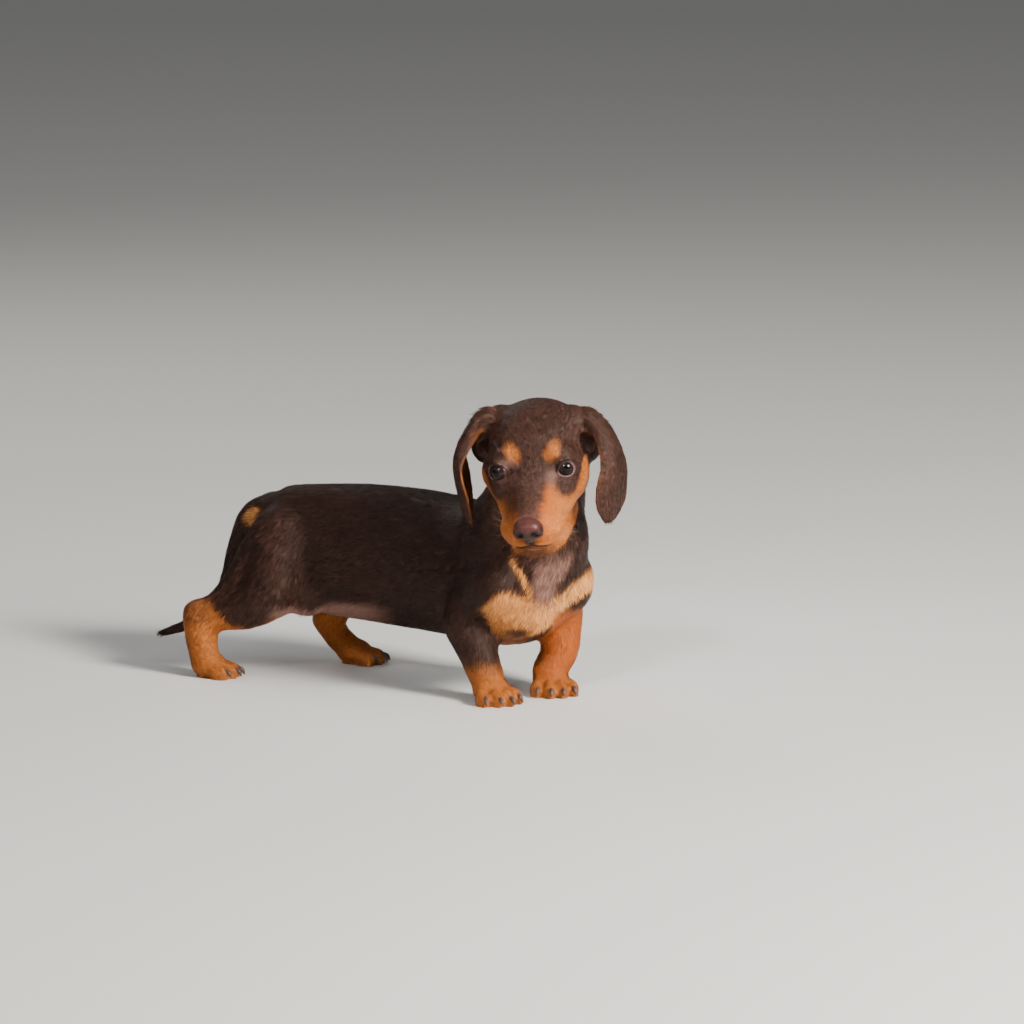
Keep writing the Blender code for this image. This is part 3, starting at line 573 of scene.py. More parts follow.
# the middle line of each ear, and its front and rear edges, where the dark coat gives way to tan
earSet = {
    "ear_left": {
        "middle": [
            (-31, 37, 20.5),
            (-28, 45, 12.4),
            (-24, 51, 0.2),
            (-18, 53, -13),
            (-11, 50, -29),
            (-4, 46, -48),
        ],
        "front": [
            (-28.5, 35, 12),
            (-19.5, 41.6, 0.4),
            (-6, 42, -12),
            (2.1, 38.5, -28),
            (1.4, 40, -40),
            (0, 41.5, -46),
        ],
        "rear": [(-31, 57.6, -18), (-23, 55.4, -39), (-15, 51, -46.4), (-9.5, 48, -50)],
        "edgeWidth": 2.3,
        "edgeTan": 0.6,
    },
    "ear_right": {
        "middle": [
            (-31, -31, 25),
            (-28, -39, 23),
            (-24, -47, 15),
            (-19, -54, 2),
            (-12, -54, -17),
            (-6, -50, -43),
        ],
        "front": [
            (-28, -34.6, 15),
            (-14.4, -45, 5.4),
            (0, -48.3, -3.6),
            (3.8, -46, -21),
            (0.7, -46, -34),
            (-1.6, -46, -41),
        ],
        "rear": [(-29, -48.7, -9), (-22.5, -48, -32), (-15.3, -48, -41), (-10.8, -48, -45)],
        "edgeWidth": 2.6,
        "edgeTan": 0.35,
    },
}


def earTan(head, node, facing):
    tan = np.zeros(len(head))
    for name, lines in earSet.items():
        mine = node == fleshNodes.index(name)
        here = head[mine]
        front = nearPath(here, smoothPath(lines["front"], 60))
        rear = nearPath(here, smoothPath(lines["rear"], 40))
        high = ramp(here[:, 2], -24, -4)
        edge = (1 - ramp(front, 0.4, lines["edgeWidth"])) * (0.3 + lines["edgeTan"] * high)
        edge = np.maximum(edge, 0.7 * (1 - ramp(rear, 0.3, 2.0)) * ramp(-here[:, 2], 20, 36))
        inside = ramp(facing[mine], 0.1, 0.7)
        tan[mine] = np.maximum(edge, inside * (0.35 + 0.2 * (1 - ramp(front, 2, 9))))
    return tan


def markingsAndPaintedLight(points, normals, node):
    head = toHead(points)
    dog = toStraight(points)
    rough = wander(points, 6.0, 3) * markSet["ragged"]
    kind = np.array([name.split("_")[0] for name in fleshNodes])[node]
    x, y, z = dog.T
    body = (kind != "head") & (kind != "ear")

    facing = normals @ headTurn
    tan = np.where(kind == "head", headTan(head, facing, rough), 0.0)
    tan = np.where(kind == "ear", earTan(head, node, -facing[:, 1] * np.sign(head[:, 1])), tan)

    # chest: a golden patch each side of the breastbone, a lighter band and a lilac stripe down the throat
    low = np.interp(y, *markSet["chestLow"]) + rough
    top = np.interp(y, *markSet["chestTop"]) + rough
    patch = ramp(z, low - 4, low + 4) * (1 - ramp(z, top - 5, top + 4)) * ramp(x, 2, 16)
    patch = patch * (1 - 0.7 * blob(dog, *markSet["smudge"], 0.7))
    middle = np.interp(z, *markSet["throatMiddle"])
    wide = 2.5 + 4.5 * ramp(z, 72, 96)
    stripe = (1 - ramp(abs(y - middle), wide, wide + 6)) * ramp(z, 62, 78)
    stripe = stripe * (1 - ramp(z, 96, 112)) * ramp(x, 22, 30)
    stripe = stripe * (0.75 + 0.35 * np.clip(wander(dog * (1, 1, 0.25), 2.6, 9), -1, 1))
    band = 1 - ramp(nearPath(dog, smoothPath(markSet["throatBand"], 40)), 0.8, 4.4)
    band = band * (1 - ramp(z, 100, 110))
    patch = np.where(body, patch, 0.0)
    cream = np.where(body, np.maximum(patch * (0.38 + 0.42 * ramp(y, -20, 10)), 0.5 * band), 0.0)
    tan = np.maximum(tan, np.where(body, np.maximum(patch * (1 - 0.5 * stripe), 0.92 * band), 0.0))

    # forelegs: the left one tan in front and inside, the right one dark but for its inner edge and paw
    foreleg = (kind == "foreleg") | (kind == "forepaw") | ((kind == "torso") & (x > -20))
    leftLeg = (1 - ramp(z, 58 + rough, 68 + rough)) * ramp(x - 0.3 * (y - 20), -16, -6) * ramp(y, 4, 10)
    rightEdge = (1 - ramp(z, 36, 48)) * ramp(y, -21, -16) * (1 - ramp(y, -4, 4)) * ramp(x, -14, -4)
    paw = 1 - ramp(z + rough, 17, 36)
    # painted shade darkens the tan low on the left foreleg
    leftLeg = leftLeg * (1 - 0.55 * blob(dog, *markSet["legPaintedShade"], 0.8))
    tan = np.where(foreleg, np.maximum(tan, np.maximum(np.maximum(leftLeg, rightEdge), paw)), tan)
    rust = np.where(foreleg & (y > 0), leftLeg, 0.0) * ramp(z, 8, 20)

    # hind legs: tan below the hock and under the knee
    rearDark = (kind == "shank") * (y < 0) * (1 - ramp(x, -243, -236)) * ramp(z, 34, 44)
    hindTop = np.where(y < 0, np.interp(x, *markSet["hindTop"]), 42 - 0.1 * (x + 190)) + rough
    hind = (kind == "shank") | (kind == "hindpaw") | (kind == "thigh")
    tan = np.where(hind, np.maximum(tan, 1 - ramp(z, hindTop - 4, hindTop + 4)), tan)
    tan = tan * (1 - 0.35 * rearDark)
    underTail = blob(dog, *markSet["underTail"], 0.6) * (kind != "tail")
    tan = np.maximum(tan, 0.8 * underTail)
    cream = np.maximum(cream, 0.6 * underTail)

    belly = ((kind == "torso") | (kind == "thigh")) * ramp(-normals[:, 2], 0.1, 0.6)
    belly = belly * (1 - ramp(z, 50, 57))
    belly = belly * ramp(x, -200, -188) * (1 - ramp(x, -140, -105)) * (1 - tan)
    blush = np.where(body, np.maximum(0.75 * belly, 0.85 * stripe), 0.0)
    corner = 0.3 * ramp(head[:, 1], -16, 4) * blob(foldedHead(head), *markSet["innerCorner"], 0.7)
    # a painted highlight on the upper lid of the right eye, beside the pinkish inner corners
    around = np.maximum(corner, 0.4 * blob(head, *markSet["lidHighlight"], 0.6))
    # a faint painted sheen down the bridge of the muzzle, carried in the pinkish blush colour
    sheen = 0.06 * (1 - ramp(abs(head[:, 1]), 5, 11)) * ramp(head[:, 0], 8, 18)
    sheen = sheen * ramp(head[:, 2], -24, -16)
    blush = np.where(kind == "head", np.maximum(around, sheen), blush)
    pads = ramp(-normals[:, 2], 0.5, 0.8) * (1 - ramp(z, 1.5, 4))
    beside = np.interp(head[:, 0], *markSet["bridge"])
    warm = 1 - ramp(abs(head[:, 1]), beside + 1, beside + 10)
    warm = warm * ramp(head[:, 0], 10, 20) * (head[:, 2] > -28)
    rust = np.where(kind == "head", 0.75 * warm, rust)
    return {"tan": tan, "cream": cream, "blush": blush, "rust": rust, "pads": pads}


# which way the hair lies, over the whole skin
def hairFlow(points, node):
    head = toHead(points)
    dog = toStraight(points)
    x, y, z = dog.T
    kind = np.array([name.split("_")[0] for name in fleshNodes])[node]
    side = np.sign(y)
    one = np.ones(len(points))

    def along(a, b, c):
        return turnedAlong(dog, np.stack([a * one, b * one, c * one], axis=1))

    flow = along(-1.0, 0.0, -0.3 - 0.5 * ramp(80 - z, 0, 60))
    chest = ramp(x, 8, 24) * (z < 110)
    flow = flow * (1 - chest)[:, None] + along(-0.2, 0.35 * side, -1.0) * chest[:, None]
    choices = {
        "neck": along(-0.75, 0.1 * side, -0.75),
        "thigh": along(-0.6, 0.0, -0.9),
        "shank": along(-0.5, 0.0, -0.9),
        "foreleg": along(-0.15, 0.0, -1.0),
        "forepaw": along(0.8, 0.0, -0.5),
        "hindpaw": along(0.8, 0.0, -0.5),
        "tail": along(-0.35 - 0.6 * ramp(60 - z, 0, 30), 0.0, -1.0 + 0.5 * ramp(60 - z, 0, 30)),
    }
    hx, hy, hz = head.T
    crown = np.stack([-one, 0.12 * np.sign(hy), 0.35 * ramp(hx, -10, 10)], axis=1)
    cheek = np.stack([-0.8 * one, 0.1 * np.sign(hy), -0.55 * one], axis=1)
    lower = ramp(-hz, 4, 22)[:, None]
    choices["head"] = (crown * (1 - lower) + cheek * lower) @ headTurn.T
    ear = np.zeros((len(points), 3))
    for name, lines in earSet.items():
        line = smoothPath(lines["middle"], 24)
        run = unit(np.gradient(line, axis=0))
        mine = node == fleshNodes.index(name)
        gaps = np.linalg.norm(head[mine][:, None] - line[None], axis=2)
        ear[mine] = run[gaps.argmin(axis=1)] @ headTurn.T
    choices["ear"] = ear
    for name, chosen in choices.items():
        flow = np.where((kind == name)[:, None], chosen, flow)
    return flow


# parts: length and rise of one tuft, its pull into the lock, how much lighter it is (partly painted light
# and shade), and how varied
coatSet = {
    "tufts": 400000,
    "pieces": 8,
    "parts": {
        "head": (3.5, 0.5, 0.15, 0.07, 0.14),
        "ear": (3.6, 0.4, 0.15, 0.12, 0.14),
        "neck": (6.4, 1.0, 0.45, -0.04, 0.2),
        "torso": (5.8, 0.65, 0.2, -0.18, 0.1),
        "thigh": (5.4, 0.65, 0.2, -0.05, 0.14),
        "shank": (4.6, 0.55, 0.25, 0.0, 0.16),
        "foreleg": (5.0, 0.65, 0.3, -0.08, 0.14),
        "forepaw": (3.2, 0.4, 0.25, 0.0, 0.16),
        "hindpaw": (3.2, 0.4, 0.25, 0.0, 0.16),
        "tail": (5.5, 0.65, 0.3, 0.0, 0.16),
    },
    "narrowest": 0.2,
    "widest": 0.4,
    "stray": 0.13,
    "mingle": 0.2,
    "clumps": 42000,
    "ruff": ((26, 0, 95), (22, 30, 30)),
    "throat": ((8, 0, -40), (34, 34, 20)),
}


def hairLengths(points, node):
    head = toHead(points)
    dog = toStraight(points)
    length, rise = byNode(coatSet["parts"])[node].T[:2]
    onHead = byNode({"head": 1.0})[node]
    muzzle = onHead * ramp(head[:, 0], -2, 22)
    length = length * (1 - 0.5 * muzzle)
    rise = rise * (1 - 0.45 * muzzle)
    eyes = np.zeros(len(points))
    x, y, z = eyeSet["at"]
    for side in (-1, 1):
        eyes = np.maximum(eyes, 1 - ramp(np.linalg.norm(head - (x, side * y, z), axis=1), 9, 17))
    length = length * (1 - 0.5 * eyes)
    rise = rise * (1 - 0.4 * eyes)
    jaw = onHead * ramp(-head[:, 2], 22, 34)
    length = length * (1 - 0.5 * jaw)
    rise = rise * (1 - 0.7 * jaw)
    cheek = onHead * ramp(-head[:, 2], 4, 16) * ramp(abs(head[:, 1]), 10, 18)
    length = length * (1 - 0.2 * cheek)
    rise = rise * (1 - 0.4 * cheek)
    onEar = byNode({"ear": 1.0})[node]
    earTip = onEar * ramp(-head[:, 2], 32, 44)
    earRoot = onEar * ramp(head[:, 2], 8, 18) * (1 - earTip)
    length = length * (1 - 0.15 * earTip + 0.9 * earRoot)
    rise = rise * (1 - 0.3 * earTip + 1.8 * earRoot)
    ruff = blob(dog, *coatSet["ruff"], 0.4)
    length = length * (1 + 0.1 * ruff)
    rise = rise * (1 + 0.2 * ruff)
    throat = byNode({"neck": 1.0})[node] * blob(head, *coatSet["throat"], 0.5)
    length = length * (1 - 0.5 * throat)
    return length, rise


# an unwrap of the skin: each part seen along each axis is one flat chart, all packed in a square
def packCharts(faceMiddle, faceNormal, faceNode):
    axis = abs(faceNormal).argmax(axis=1)
    way = (faceNormal[np.arange(len(axis)), axis] > 0).astype(int)
    chart = faceNode * 6 + axis * 2 + way
    boxes = []
    for number in np.unique(chart):
        mine = faceMiddle[chart == number]
        axes = [i for i in range(3) if i != (number % 6) // 2]
        low, high = mine[:, axes].min(axis=0) - 1.5, mine[:, axes].max(axis=0) + 1.5
        boxes.append([number, axes, low, high - low])
    boxes.sort(key=lambda item: -item[3][1])
    total = sum(item[3][0] * item[3][1] for item in boxes)
    width = math.sqrt(total) * 1.12
    places = {}
    x = y = tall = 0.0
    for number, axes, low, size in boxes:
        if x + size[0] > width:
            x, y, tall = 0.0, y + tall, 0.0
        places[number] = (axes, low, (x, y))
        x += size[0]
        tall = max(tall, size[1])
    return chart, places, 0.98 / max(width, y + tall)


def chartPlace(points, chart, places, scale):
    spots = np.zeros((len(points), 2))
    for number, (axes, low, corner) in places.items():
        mine = chart == number
        spots[mine] = (points[mine][:, axes] - low + corner) * scale + 0.01
    return spots


def setUv(mesh, name, spots):
    layer = mesh.uv_layers.get(name) or mesh.uv_layers.new(name=name)
    layer.data.foreach_set("uv", np.asarray(spots, np.float32).ravel())


def buildSkin():
    skin = meltFlesh()
    refineFace(skin)
    mesh = skin.data
    points, normals = pointsOf(mesh), normalsOf(mesh)
    node = nearestNode(points)
    depth = evened(mesh, byNode(skinSet["depths"], 0.7)[node], 6)[:, 0] + skinSet["closes"]
    sole = (points[:, 2] < 1.2) & (normals[:, 2] < -0.5)
    points = points - normals * np.where(sole, 0.0, depth)[:, None]
    points[:, 2] = np.where(sole, 0.05, np.maximum(points[:, 2], 0.05))
    head = toHead(points)
    kept = np.ones(len(points))
    for place in skinSet["tips"].values():
        kept = kept * ramp(np.linalg.norm(head - place, axis=1), 5, 9)
    points = points * kept[:, None] + evened(mesh, points, 14) * (1 - kept)[:, None]
    for place, times in (("jaw", 40), ("lip", 12)):
        share = blob(foldedHead(head), *skinSet[place], 0.5)[:, None]
        points = points * (1 - share) + evened(mesh, points, times) * share
    setPoints(mesh, points)
    points, lip = carveFace(mesh, points, normalsOf(mesh))
    setPoints(mesh, points)
    normals = normalsOf(mesh)
    marks = markingsAndPaintedLight(points, normals, node)
    marks["lip"] = np.exp(-((lip / 0.95) ** 2))
    for name, values in marks.items():
        setValues(mesh, name, values)
    flow = evened(mesh, hairFlow(points, node), 12)
    print("skin", len(mesh.vertices), "points")
    return skin, points, normals, node, marks, flow


skin, skinPoints, skinNormals, skinNode, skinMarks, skinFlow = buildSkin()


# what a maker would write as a formula on the values that run between shader nodes
class Wire:
    def __init__(self, finish, socket):
        self.finish = finish
        self.socket = socket

    def sum(self, operation, one, two):
        return self.finish.node("Math", {"operation": operation}, {0: one, 1: two})

    def __add__(self, other):
        return self.sum("ADD", self, other)

    def __radd__(self, other):
        return self.sum("ADD", other, self)

    def __sub__(self, other):
        return self.sum("SUBTRACT", self, other)

    def __rsub__(self, other):
        return self.sum("SUBTRACT", other, self)

    def __mul__(self, other):
        return self.sum("MULTIPLY", self, other)

    def __rmul__(self, other):
        return self.sum("MULTIPLY", other, self)


class Finish:
    def __init__(self, name, constants):
        self.material = bpy.data.materials.new(name)
        self.material.use_nodes = True
        self.tree = self.material.node_tree
        self.shader = self.tree.nodes["Principled BSDF"]
        for socket, value in constants.items():
            self.shader.inputs[socket].default_value = value

    def node(self, kind, settings, sockets, out=0):
        made = self.tree.nodes.new("ShaderNode" + kind)
        for key, value in settings.items():
            if key == "stops":
                self.setStops(made.color_ramp, value)
            else:
                setattr(made, key, value)
        for key, value in sockets.items():
            self.feed(made.inputs[key], value)
        return Wire(self, made.outputs[out])

    def setStops(self, colorRamp, stops):
        while len(colorRamp.elements) < len(stops):
            colorRamp.elements.new(1.0)
        for element, (place, color) in zip(colorRamp.elements, stops):
            element.position = place
            element.color = (*color, 1.0)

    def feed(self, socket, value):
        if isinstance(value, Wire):
            self.tree.links.new(value.socket, socket)
        else:
            socket.default_value = value

    def value(self, name):
        return self.node("Attribute", {"attribute_name": name}, {}, 2)

    def noise(self, scale, detail=3.0, stretch=None):
        place = self.node("TexCoord", {}, {}, 3)
        if stretch:
            place = self.node("Mapping", {}, {0: place, 3: stretch})
        return self.node("TexNoise", {}, {"Vector": place, "Scale": scale, "Detail": detail}, 0)

    def mix(self, one, two, share, blend="MIX"):
        return self.node("Mix", {"data_type": "RGBA", "blend_type": blend}, {0: share, 6: one, 7: two}, 2)

    def send(self, socket, value):
        self.feed(self.shader.inputs[socket], value)

    def bump(self, height, strength, distance):
        sockets = {"Strength": strength, "Distance": distance, "Height": height}
        self.send("Normal", self.node("Bump", {}, sockets))


coatColors = {
    "chocolate": (0.017, 0.0075, 0.0055, 1),
    "chocolateLight": (0.11, 0.046, 0.032, 1),
    "tan": (0.62, 0.20, 0.037, 1),
    "tanDeep": (0.30, 0.072, 0.012, 1),
    "cream": (0.98, 0.47, 0.15, 1),
    "rust": (0.46, 0.105, 0.016, 1),
    # pinkish skin and lilac stripe, also used for the painted highlights on the face
    "blush": (0.38, 0.20, 0.155, 1),
    "lip": (0.022, 0.010, 0.009, 1),
    "pad": (0.035, 0.016, 0.014, 1),
}


# the markings, painted shade and painted highlights among them, as one colour, from the values that both
# the skin and the coat carry
def coatColor(finish, variety):
    c = coatColors
    dark = finish.mix(c["chocolate"], c["chocolateLight"], variety)
    tan = finish.mix(c["tanDeep"], c["tan"], 0.35 + variety * 0.65)
    tan = finish.mix(tan, c["cream"], finish.value("cream"))
    tan = finish.mix(tan, c["rust"], finish.value("rust"))
    marked = finish.value("tan")
    color = finish.mix(dark, tan, marked * marked)
    color = finish.mix(color, c["blush"], finish.value("blush"))
    return finish.mix(color, c["lip"], finish.value("lip"))


def skinFinish():
    finish = Finish("short coat, bump", {"Roughness": 0.7, "Specular IOR Level": 0.15})
    variety = finish.noise(900.0, 2.0)
    color = coatColor(finish, variety)
    color = finish.mix(color, coatColors["pad"], finish.value("pads"))
    finish.send("Base Color", color)
    finish.bump(finish.noise(1400.0, 2.0), 0.5, 0.0004)
    return finish.material


def coatFinish():
    shine = {"Roughness": 0.48, "Specular IOR Level": 0.24, "Specular Tint": (1.0, 0.82, 0.72, 1)}
    finish = Finish("short coat, hair", shine)
    strand = finish.value("strand")
    variety = strand * strand * (0.75 + finish.value("tip") * 0.3)
    finish.send("Base Color", coatColor(finish, variety))
    return finish.material


def scatterRoots():
    mesh = skin.data
    mesh.calc_loop_triangles()
    triangles = np.empty(len(mesh.loop_triangles) * 3, np.int64)
    mesh.loop_triangles.foreach_get("vertices", triangles)
    triangles = triangles.reshape(-1, 3)
    a, b, c = (skinPoints[triangles[:, i]] for i in range(3))
    cross = np.cross(b - a, c - a)
    area = np.linalg.norm(cross, axis=1) / 2
    length, rise = hairLengths(skinPoints, skinNode)
    width = np.interp(length, [2, 8], [coatSet["narrowest"], coatSet["widest"]])
    bare = skinMarks["pads"] > 0.5
    for side in (-1, 1):
        local = toEye(skinPoints, side)
        bare |= (local[:, 0] > 0) & (outOfOpening(local, side) < 1.17)
    head = toHead(skinPoints)
    bare |= blob(head, noseSet["at"], noseSet["bare"], 0.05) > 0.5
    bare |= (skinMarks["lip"] > 0.75) & (head[:, 0] > 0)
    bare |= skinPoints[:, 2] < 0.6
    dense = 1 / (length * width)
    weight = area * dense[triangles].mean(axis=1) * (1 - bare[triangles].any(axis=1))
    picked = rng.choice(len(triangles), coatSet["tufts"], p=weight / weight.sum())
    one, two = rng.random(len(picked)), rng.random(len(picked))
    flip = one + two > 1
    one[flip], two[flip] = 1 - one[flip], 1 - two[flip]
    shares = np.stack([1 - one - two, one, two], axis=1)
    corners = triangles[picked]

    def carried(values):
        return np.einsum("ij,ij...->i...", shares, values[corners])

    roots = {
        "place": carried(skinPoints),
        "normal": unit(carried(skinNormals)),
        "flow": carried(skinFlow),
        "length": carried(length) * rng.uniform(0.75, 1.2, len(picked)),
        "width": carried(width) * rng.uniform(0.8, 1.2, len(picked)),
        "rise": carried(rise) * rng.uniform(0.5, 1.25, len(picked)),
        "node": skinNode[corners[:, 0]],
        "face": picked,
    }
    for name, values in skinMarks.items():
        roots[name] = carried(values)
    return roots, triangles, cross


# the tufts gather in little locks: each belongs to the nearest of some seeds strewn over the skin
def clumpOf(places):
    seeds = rng.choice(len(places), coatSet["clumps"], replace=False)
    tree = KDTree(len(seeds))
    for number, place in enumerate(places[seeds].tolist()):
        tree.insert(place, number)
    tree.balance()
    return np.array([tree.find(place)[1] for place in places.tolist()])


def buildCoat():
    roots, triangles, cross = scatterRoots()
    count = len(roots["place"])
    normal = roots["normal"]

    # the hairs of a lock share a turn, a shade and a lift
    clump = clumpOf(roots["place"])
    clumpTurn = rng.normal(0, 0.1, (coatSet["clumps"], 3))
    clumpShade = rng.normal(0, 1, coatSet["clumps"])
    clumpLift = rng.uniform(0.7, 1.3, coatSet["clumps"])
    flow = unit(roots["flow"] + rng.normal(0, coatSet["stray"], (count, 3)) + clumpTurn[clump])
    drift = wander(roots["place"], 14.0, 11)[:, None] * 0.22
    flow = flow + np.cross(normal, flow) * drift
    flow = unit(flow - normal * (flow * normal).sum(axis=1)[:, None])
    tree = surfaceTree(skin.data, skinPoints)

    # each station is laid back on the skin, then lifted by its share of the rise
    def laid(places, lift):
        out = np.empty_like(places)
        outNormal = np.empty_like(places)
        for index, place in enumerate(places.tolist()):
            spot, facing, _, gap = tree.find_nearest(place)
            if gap > 2.2:
                spot, facing = place, normal[index]
            out[index] = spot
            outNormal[index] = facing
        outNormal = np.where((outNormal * normal).sum(axis=1)[:, None] > 0.2, outNormal, normal)
        return out + outNormal * lift[:, None], unit(outNormal + normal)

    length, rise, width = roots["length"], roots["rise"] * clumpLift[clump], roots["width"]
    middle, middleNormal = laid(roots["place"] + flow * (length * 0.5)[:, None], rise * 0.75)
    gather, shade, contrast = byNode(coatSet["parts"])[roots["node"]].T[2:]
    share = np.bincount(clump, minlength=coatSet["clumps"])
    heart = [np.bincount(clump, column, coatSet["clumps"]) for column in roots["place"].T]
    heart = np.stack(heart, axis=1)
    heart = (heart / np.maximum(share, 1)[:, None])[clump]
    pull = heart - roots["place"]
    pull -= flow * (pull * flow).sum(axis=1)[:, None]
    tip, tipNormal = laid(roots["place"] + flow * length[:, None] + pull * gather[:, None] * 1.6, rise)

    # two corners at the root, two halfway and the tip, kept off the floor and inside the solid's box
    across = np.cross(flow, normal) * width[:, None] / 2
    base = roots["place"] - normal * 0.12
    upper = across * 0.85
    corners = np.stack([base - across, base + across, middle + upper, middle - upper, tip], axis=1)
    corners[:, :, 2] = np.maximum(corners[:, :, 2], 0.12)
    lowest, highest = np.array(cadBox[0]) / mm + 0.05, np.array(cadBox[1]) / mm - 0.05
    corners = np.clip(corners, lowest, highest)

    # each flat tuft is lit as if it were round
    tilt = unit(across) * 0.45
    lean = rng.normal(0, 0.14, (count, 3)) + clumpTurn[clump] * 1.5
    normal, middleNormal, tipNormal = normal + lean, middleNormal + lean, tipNormal + lean
    tipNormal = tipNormal + flow * 0.15
    facing = [normal - tilt, normal + tilt, middleNormal + tilt, middleNormal - tilt, tipNormal]
    facing = np.stack(facing, axis=1)
    facing /= np.linalg.norm(facing, axis=2)[:, :, None]

    faceNormal = cross / np.maximum(np.linalg.norm(cross, axis=1), 1e-9)[:, None]
    faceMiddle = skinPoints[triangles].mean(axis=1)
    chart, places, scale = packCharts(faceMiddle, faceNormal, skinNode[triangles[:, 0]])
    spots = chartPlace(roots["place"], chart[roots["face"]], places, scale)
    patch = np.array([(-1, -1), (1, -1), (1, 0), (-1, 0), (0, 1)]) * 0.0015

    # how light each tuft is
    strand = 0.42 + 0.17 * rng.normal(size=count) + 0.1 * wander(roots["place"], 30.0, 5)
    strand += contrast * clumpShade[clump]
    # painted light and shade: each part's own offset darkens the dark coat on the body and lightens it on
    # the head and ears
    strand += shade * (1 - roots["tan"])
    strand = np.clip(strand, 0, 1)
    mingle = rng.normal(size=count)

    order = np.argsort(roots["node"] * 1000.0 + roots["place"][:, 0], kind="stable")
    hair = coatFinish()
    for number, mine in enumerate(np.array_split(order, coatSet["pieces"])):
        tufts = len(mine)
        first = np.arange(tufts)[:, None] * 5
        quads = first + [0, 1, 2, 3]
        tris = first + [3, 2, 4]
        loops = np.concatenate([quads, tris], axis=1).ravel()
        mesh = bpy.data.meshes.new(f"coat_{number + 1}")
        mesh.vertices.add(tufts * 5)
        mesh.loops.add(len(loops))
        mesh.polygons.add(tufts * 2)
        mesh.vertices.foreach_set("co", (corners[mine].reshape(-1, 3) * mm).ravel())
        mesh.loops.foreach_set("vertex_index", loops)
        starts = np.stack([np.arange(tufts) * 7, np.arange(tufts) * 7 + 4], axis=1).ravel()
        mesh.polygons.foreach_set("loop_start", starts)
        mesh.update(calc_edges=True)
        mesh.validate()
        mesh.shade_smooth()
        spread = np.repeat(spots[mine][:, None], 5, axis=1) + patch
        setUv(mesh, "OFBake", spread.reshape(-1, 2)[loops])
        for name in ("tan", "cream", "rust", "blush", "lip"):
            mixed = roots[name][mine] * (1 + mingle[mine] * coatSet["mingle"])
            mixed = np.clip(mixed, 0, 1)
            setValues(mesh, name, np.repeat(mixed, 5))
        setValues(mesh, "strand", np.repeat(strand[mine], 5))
        setValues(mesh, "tip", np.tile([0, 0, 0.5, 0.5, 1.0], tufts))
        mesh.normals_split_custom_set_from_vertices(facing[mine].reshape(-1, 3))
        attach(newPiece(f"coat_{number + 1}", mesh, hair), "root")
    print("coat", count, "tufts")


def dressSkin():
    mesh = skin.data
    mesh.shade_smooth()
    mesh.materials.clear()
    mesh.materials.append(skinFinish())
    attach(skin, "root")
    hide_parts(*fleshNodes)


dressSkin()
buildCoat()


def buildEyes():
    finish = Finish("eye, dark brown", {"Roughness": 0.05, "IOR": 1.38, "Specular IOR Level": 0.3})
    ring = finish.value("ring")
    threads = finish.noise(900.0, 3.0)
    color = finish.node(
        "ValToRGB",
        {
            "stops": [
                (0.0, (0.003, 0.002, 0.002)),
                (eyeSet["pupil"] / 10, (0.003, 0.002, 0.002)),
                (eyeSet["pupil"] / 10 + 0.03, (0.012, 0.007, 0.006)),
                (eyeSet["iris"] / 10 - 0.06, (0.02, 0.011, 0.008)),
                (eyeSet["iris"] / 10, (0.006, 0.003, 0.003)),
                (0.62, (0.05, 0.028, 0.024)),
            ]
        },
        {0: ring + (threads - 0.5) * 0.02},
    )
    finish.send("Base Color", color)
    for side, name in ((-1, "eye_right"), (1, "eye_left")):
        build = bmesh.new()
        bmesh.ops.create_uvsphere(build, u_segments=56, v_segments=36, radius=eyeSet["radius"])
        bmesh.ops.transform(build, matrix=Matrix.Rotation(math.pi / 2, 4, "Y"), verts=build.verts)
        for vert in build.verts:
            spread = math.hypot(vert.co.y, vert.co.z) / 5.2
            if vert.co.x > 0 and spread < 1:
                vert.co.x += eyeSet["cornea"] * (1 - spread * spread) ** 2
        mesh = meshOf(build, name)
        local = np.array([v.co[:] for v in mesh.vertices])
        reach = np.where(local[:, 0] > 0, np.hypot(local[:, 1], local[:, 2]), 10.0)
        setPoints(mesh, fromEye(local, side))
        setValues(mesh, "ring", reach / 10)
        mesh.shade_smooth()
        piece = newPiece("ball_" + name, mesh, finish.material)
        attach(piece, "root")
        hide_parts(name)


lidSet = {
    "rim": (0.17, 0.095, 0.088, 1),
    "outer": (0.016, 0.007, 0.006, 1),
    "steps": 72,
    "profile": [
        (0.96, 0.15, 0),
        (0.985, 0.5, 0),
        (1.02, 0.7, 0.2),
        (1.06, 0.72, 0.5),
        (1.13, 0.55, 0.9),
        (1.26, 0.1, 1),
    ],
}


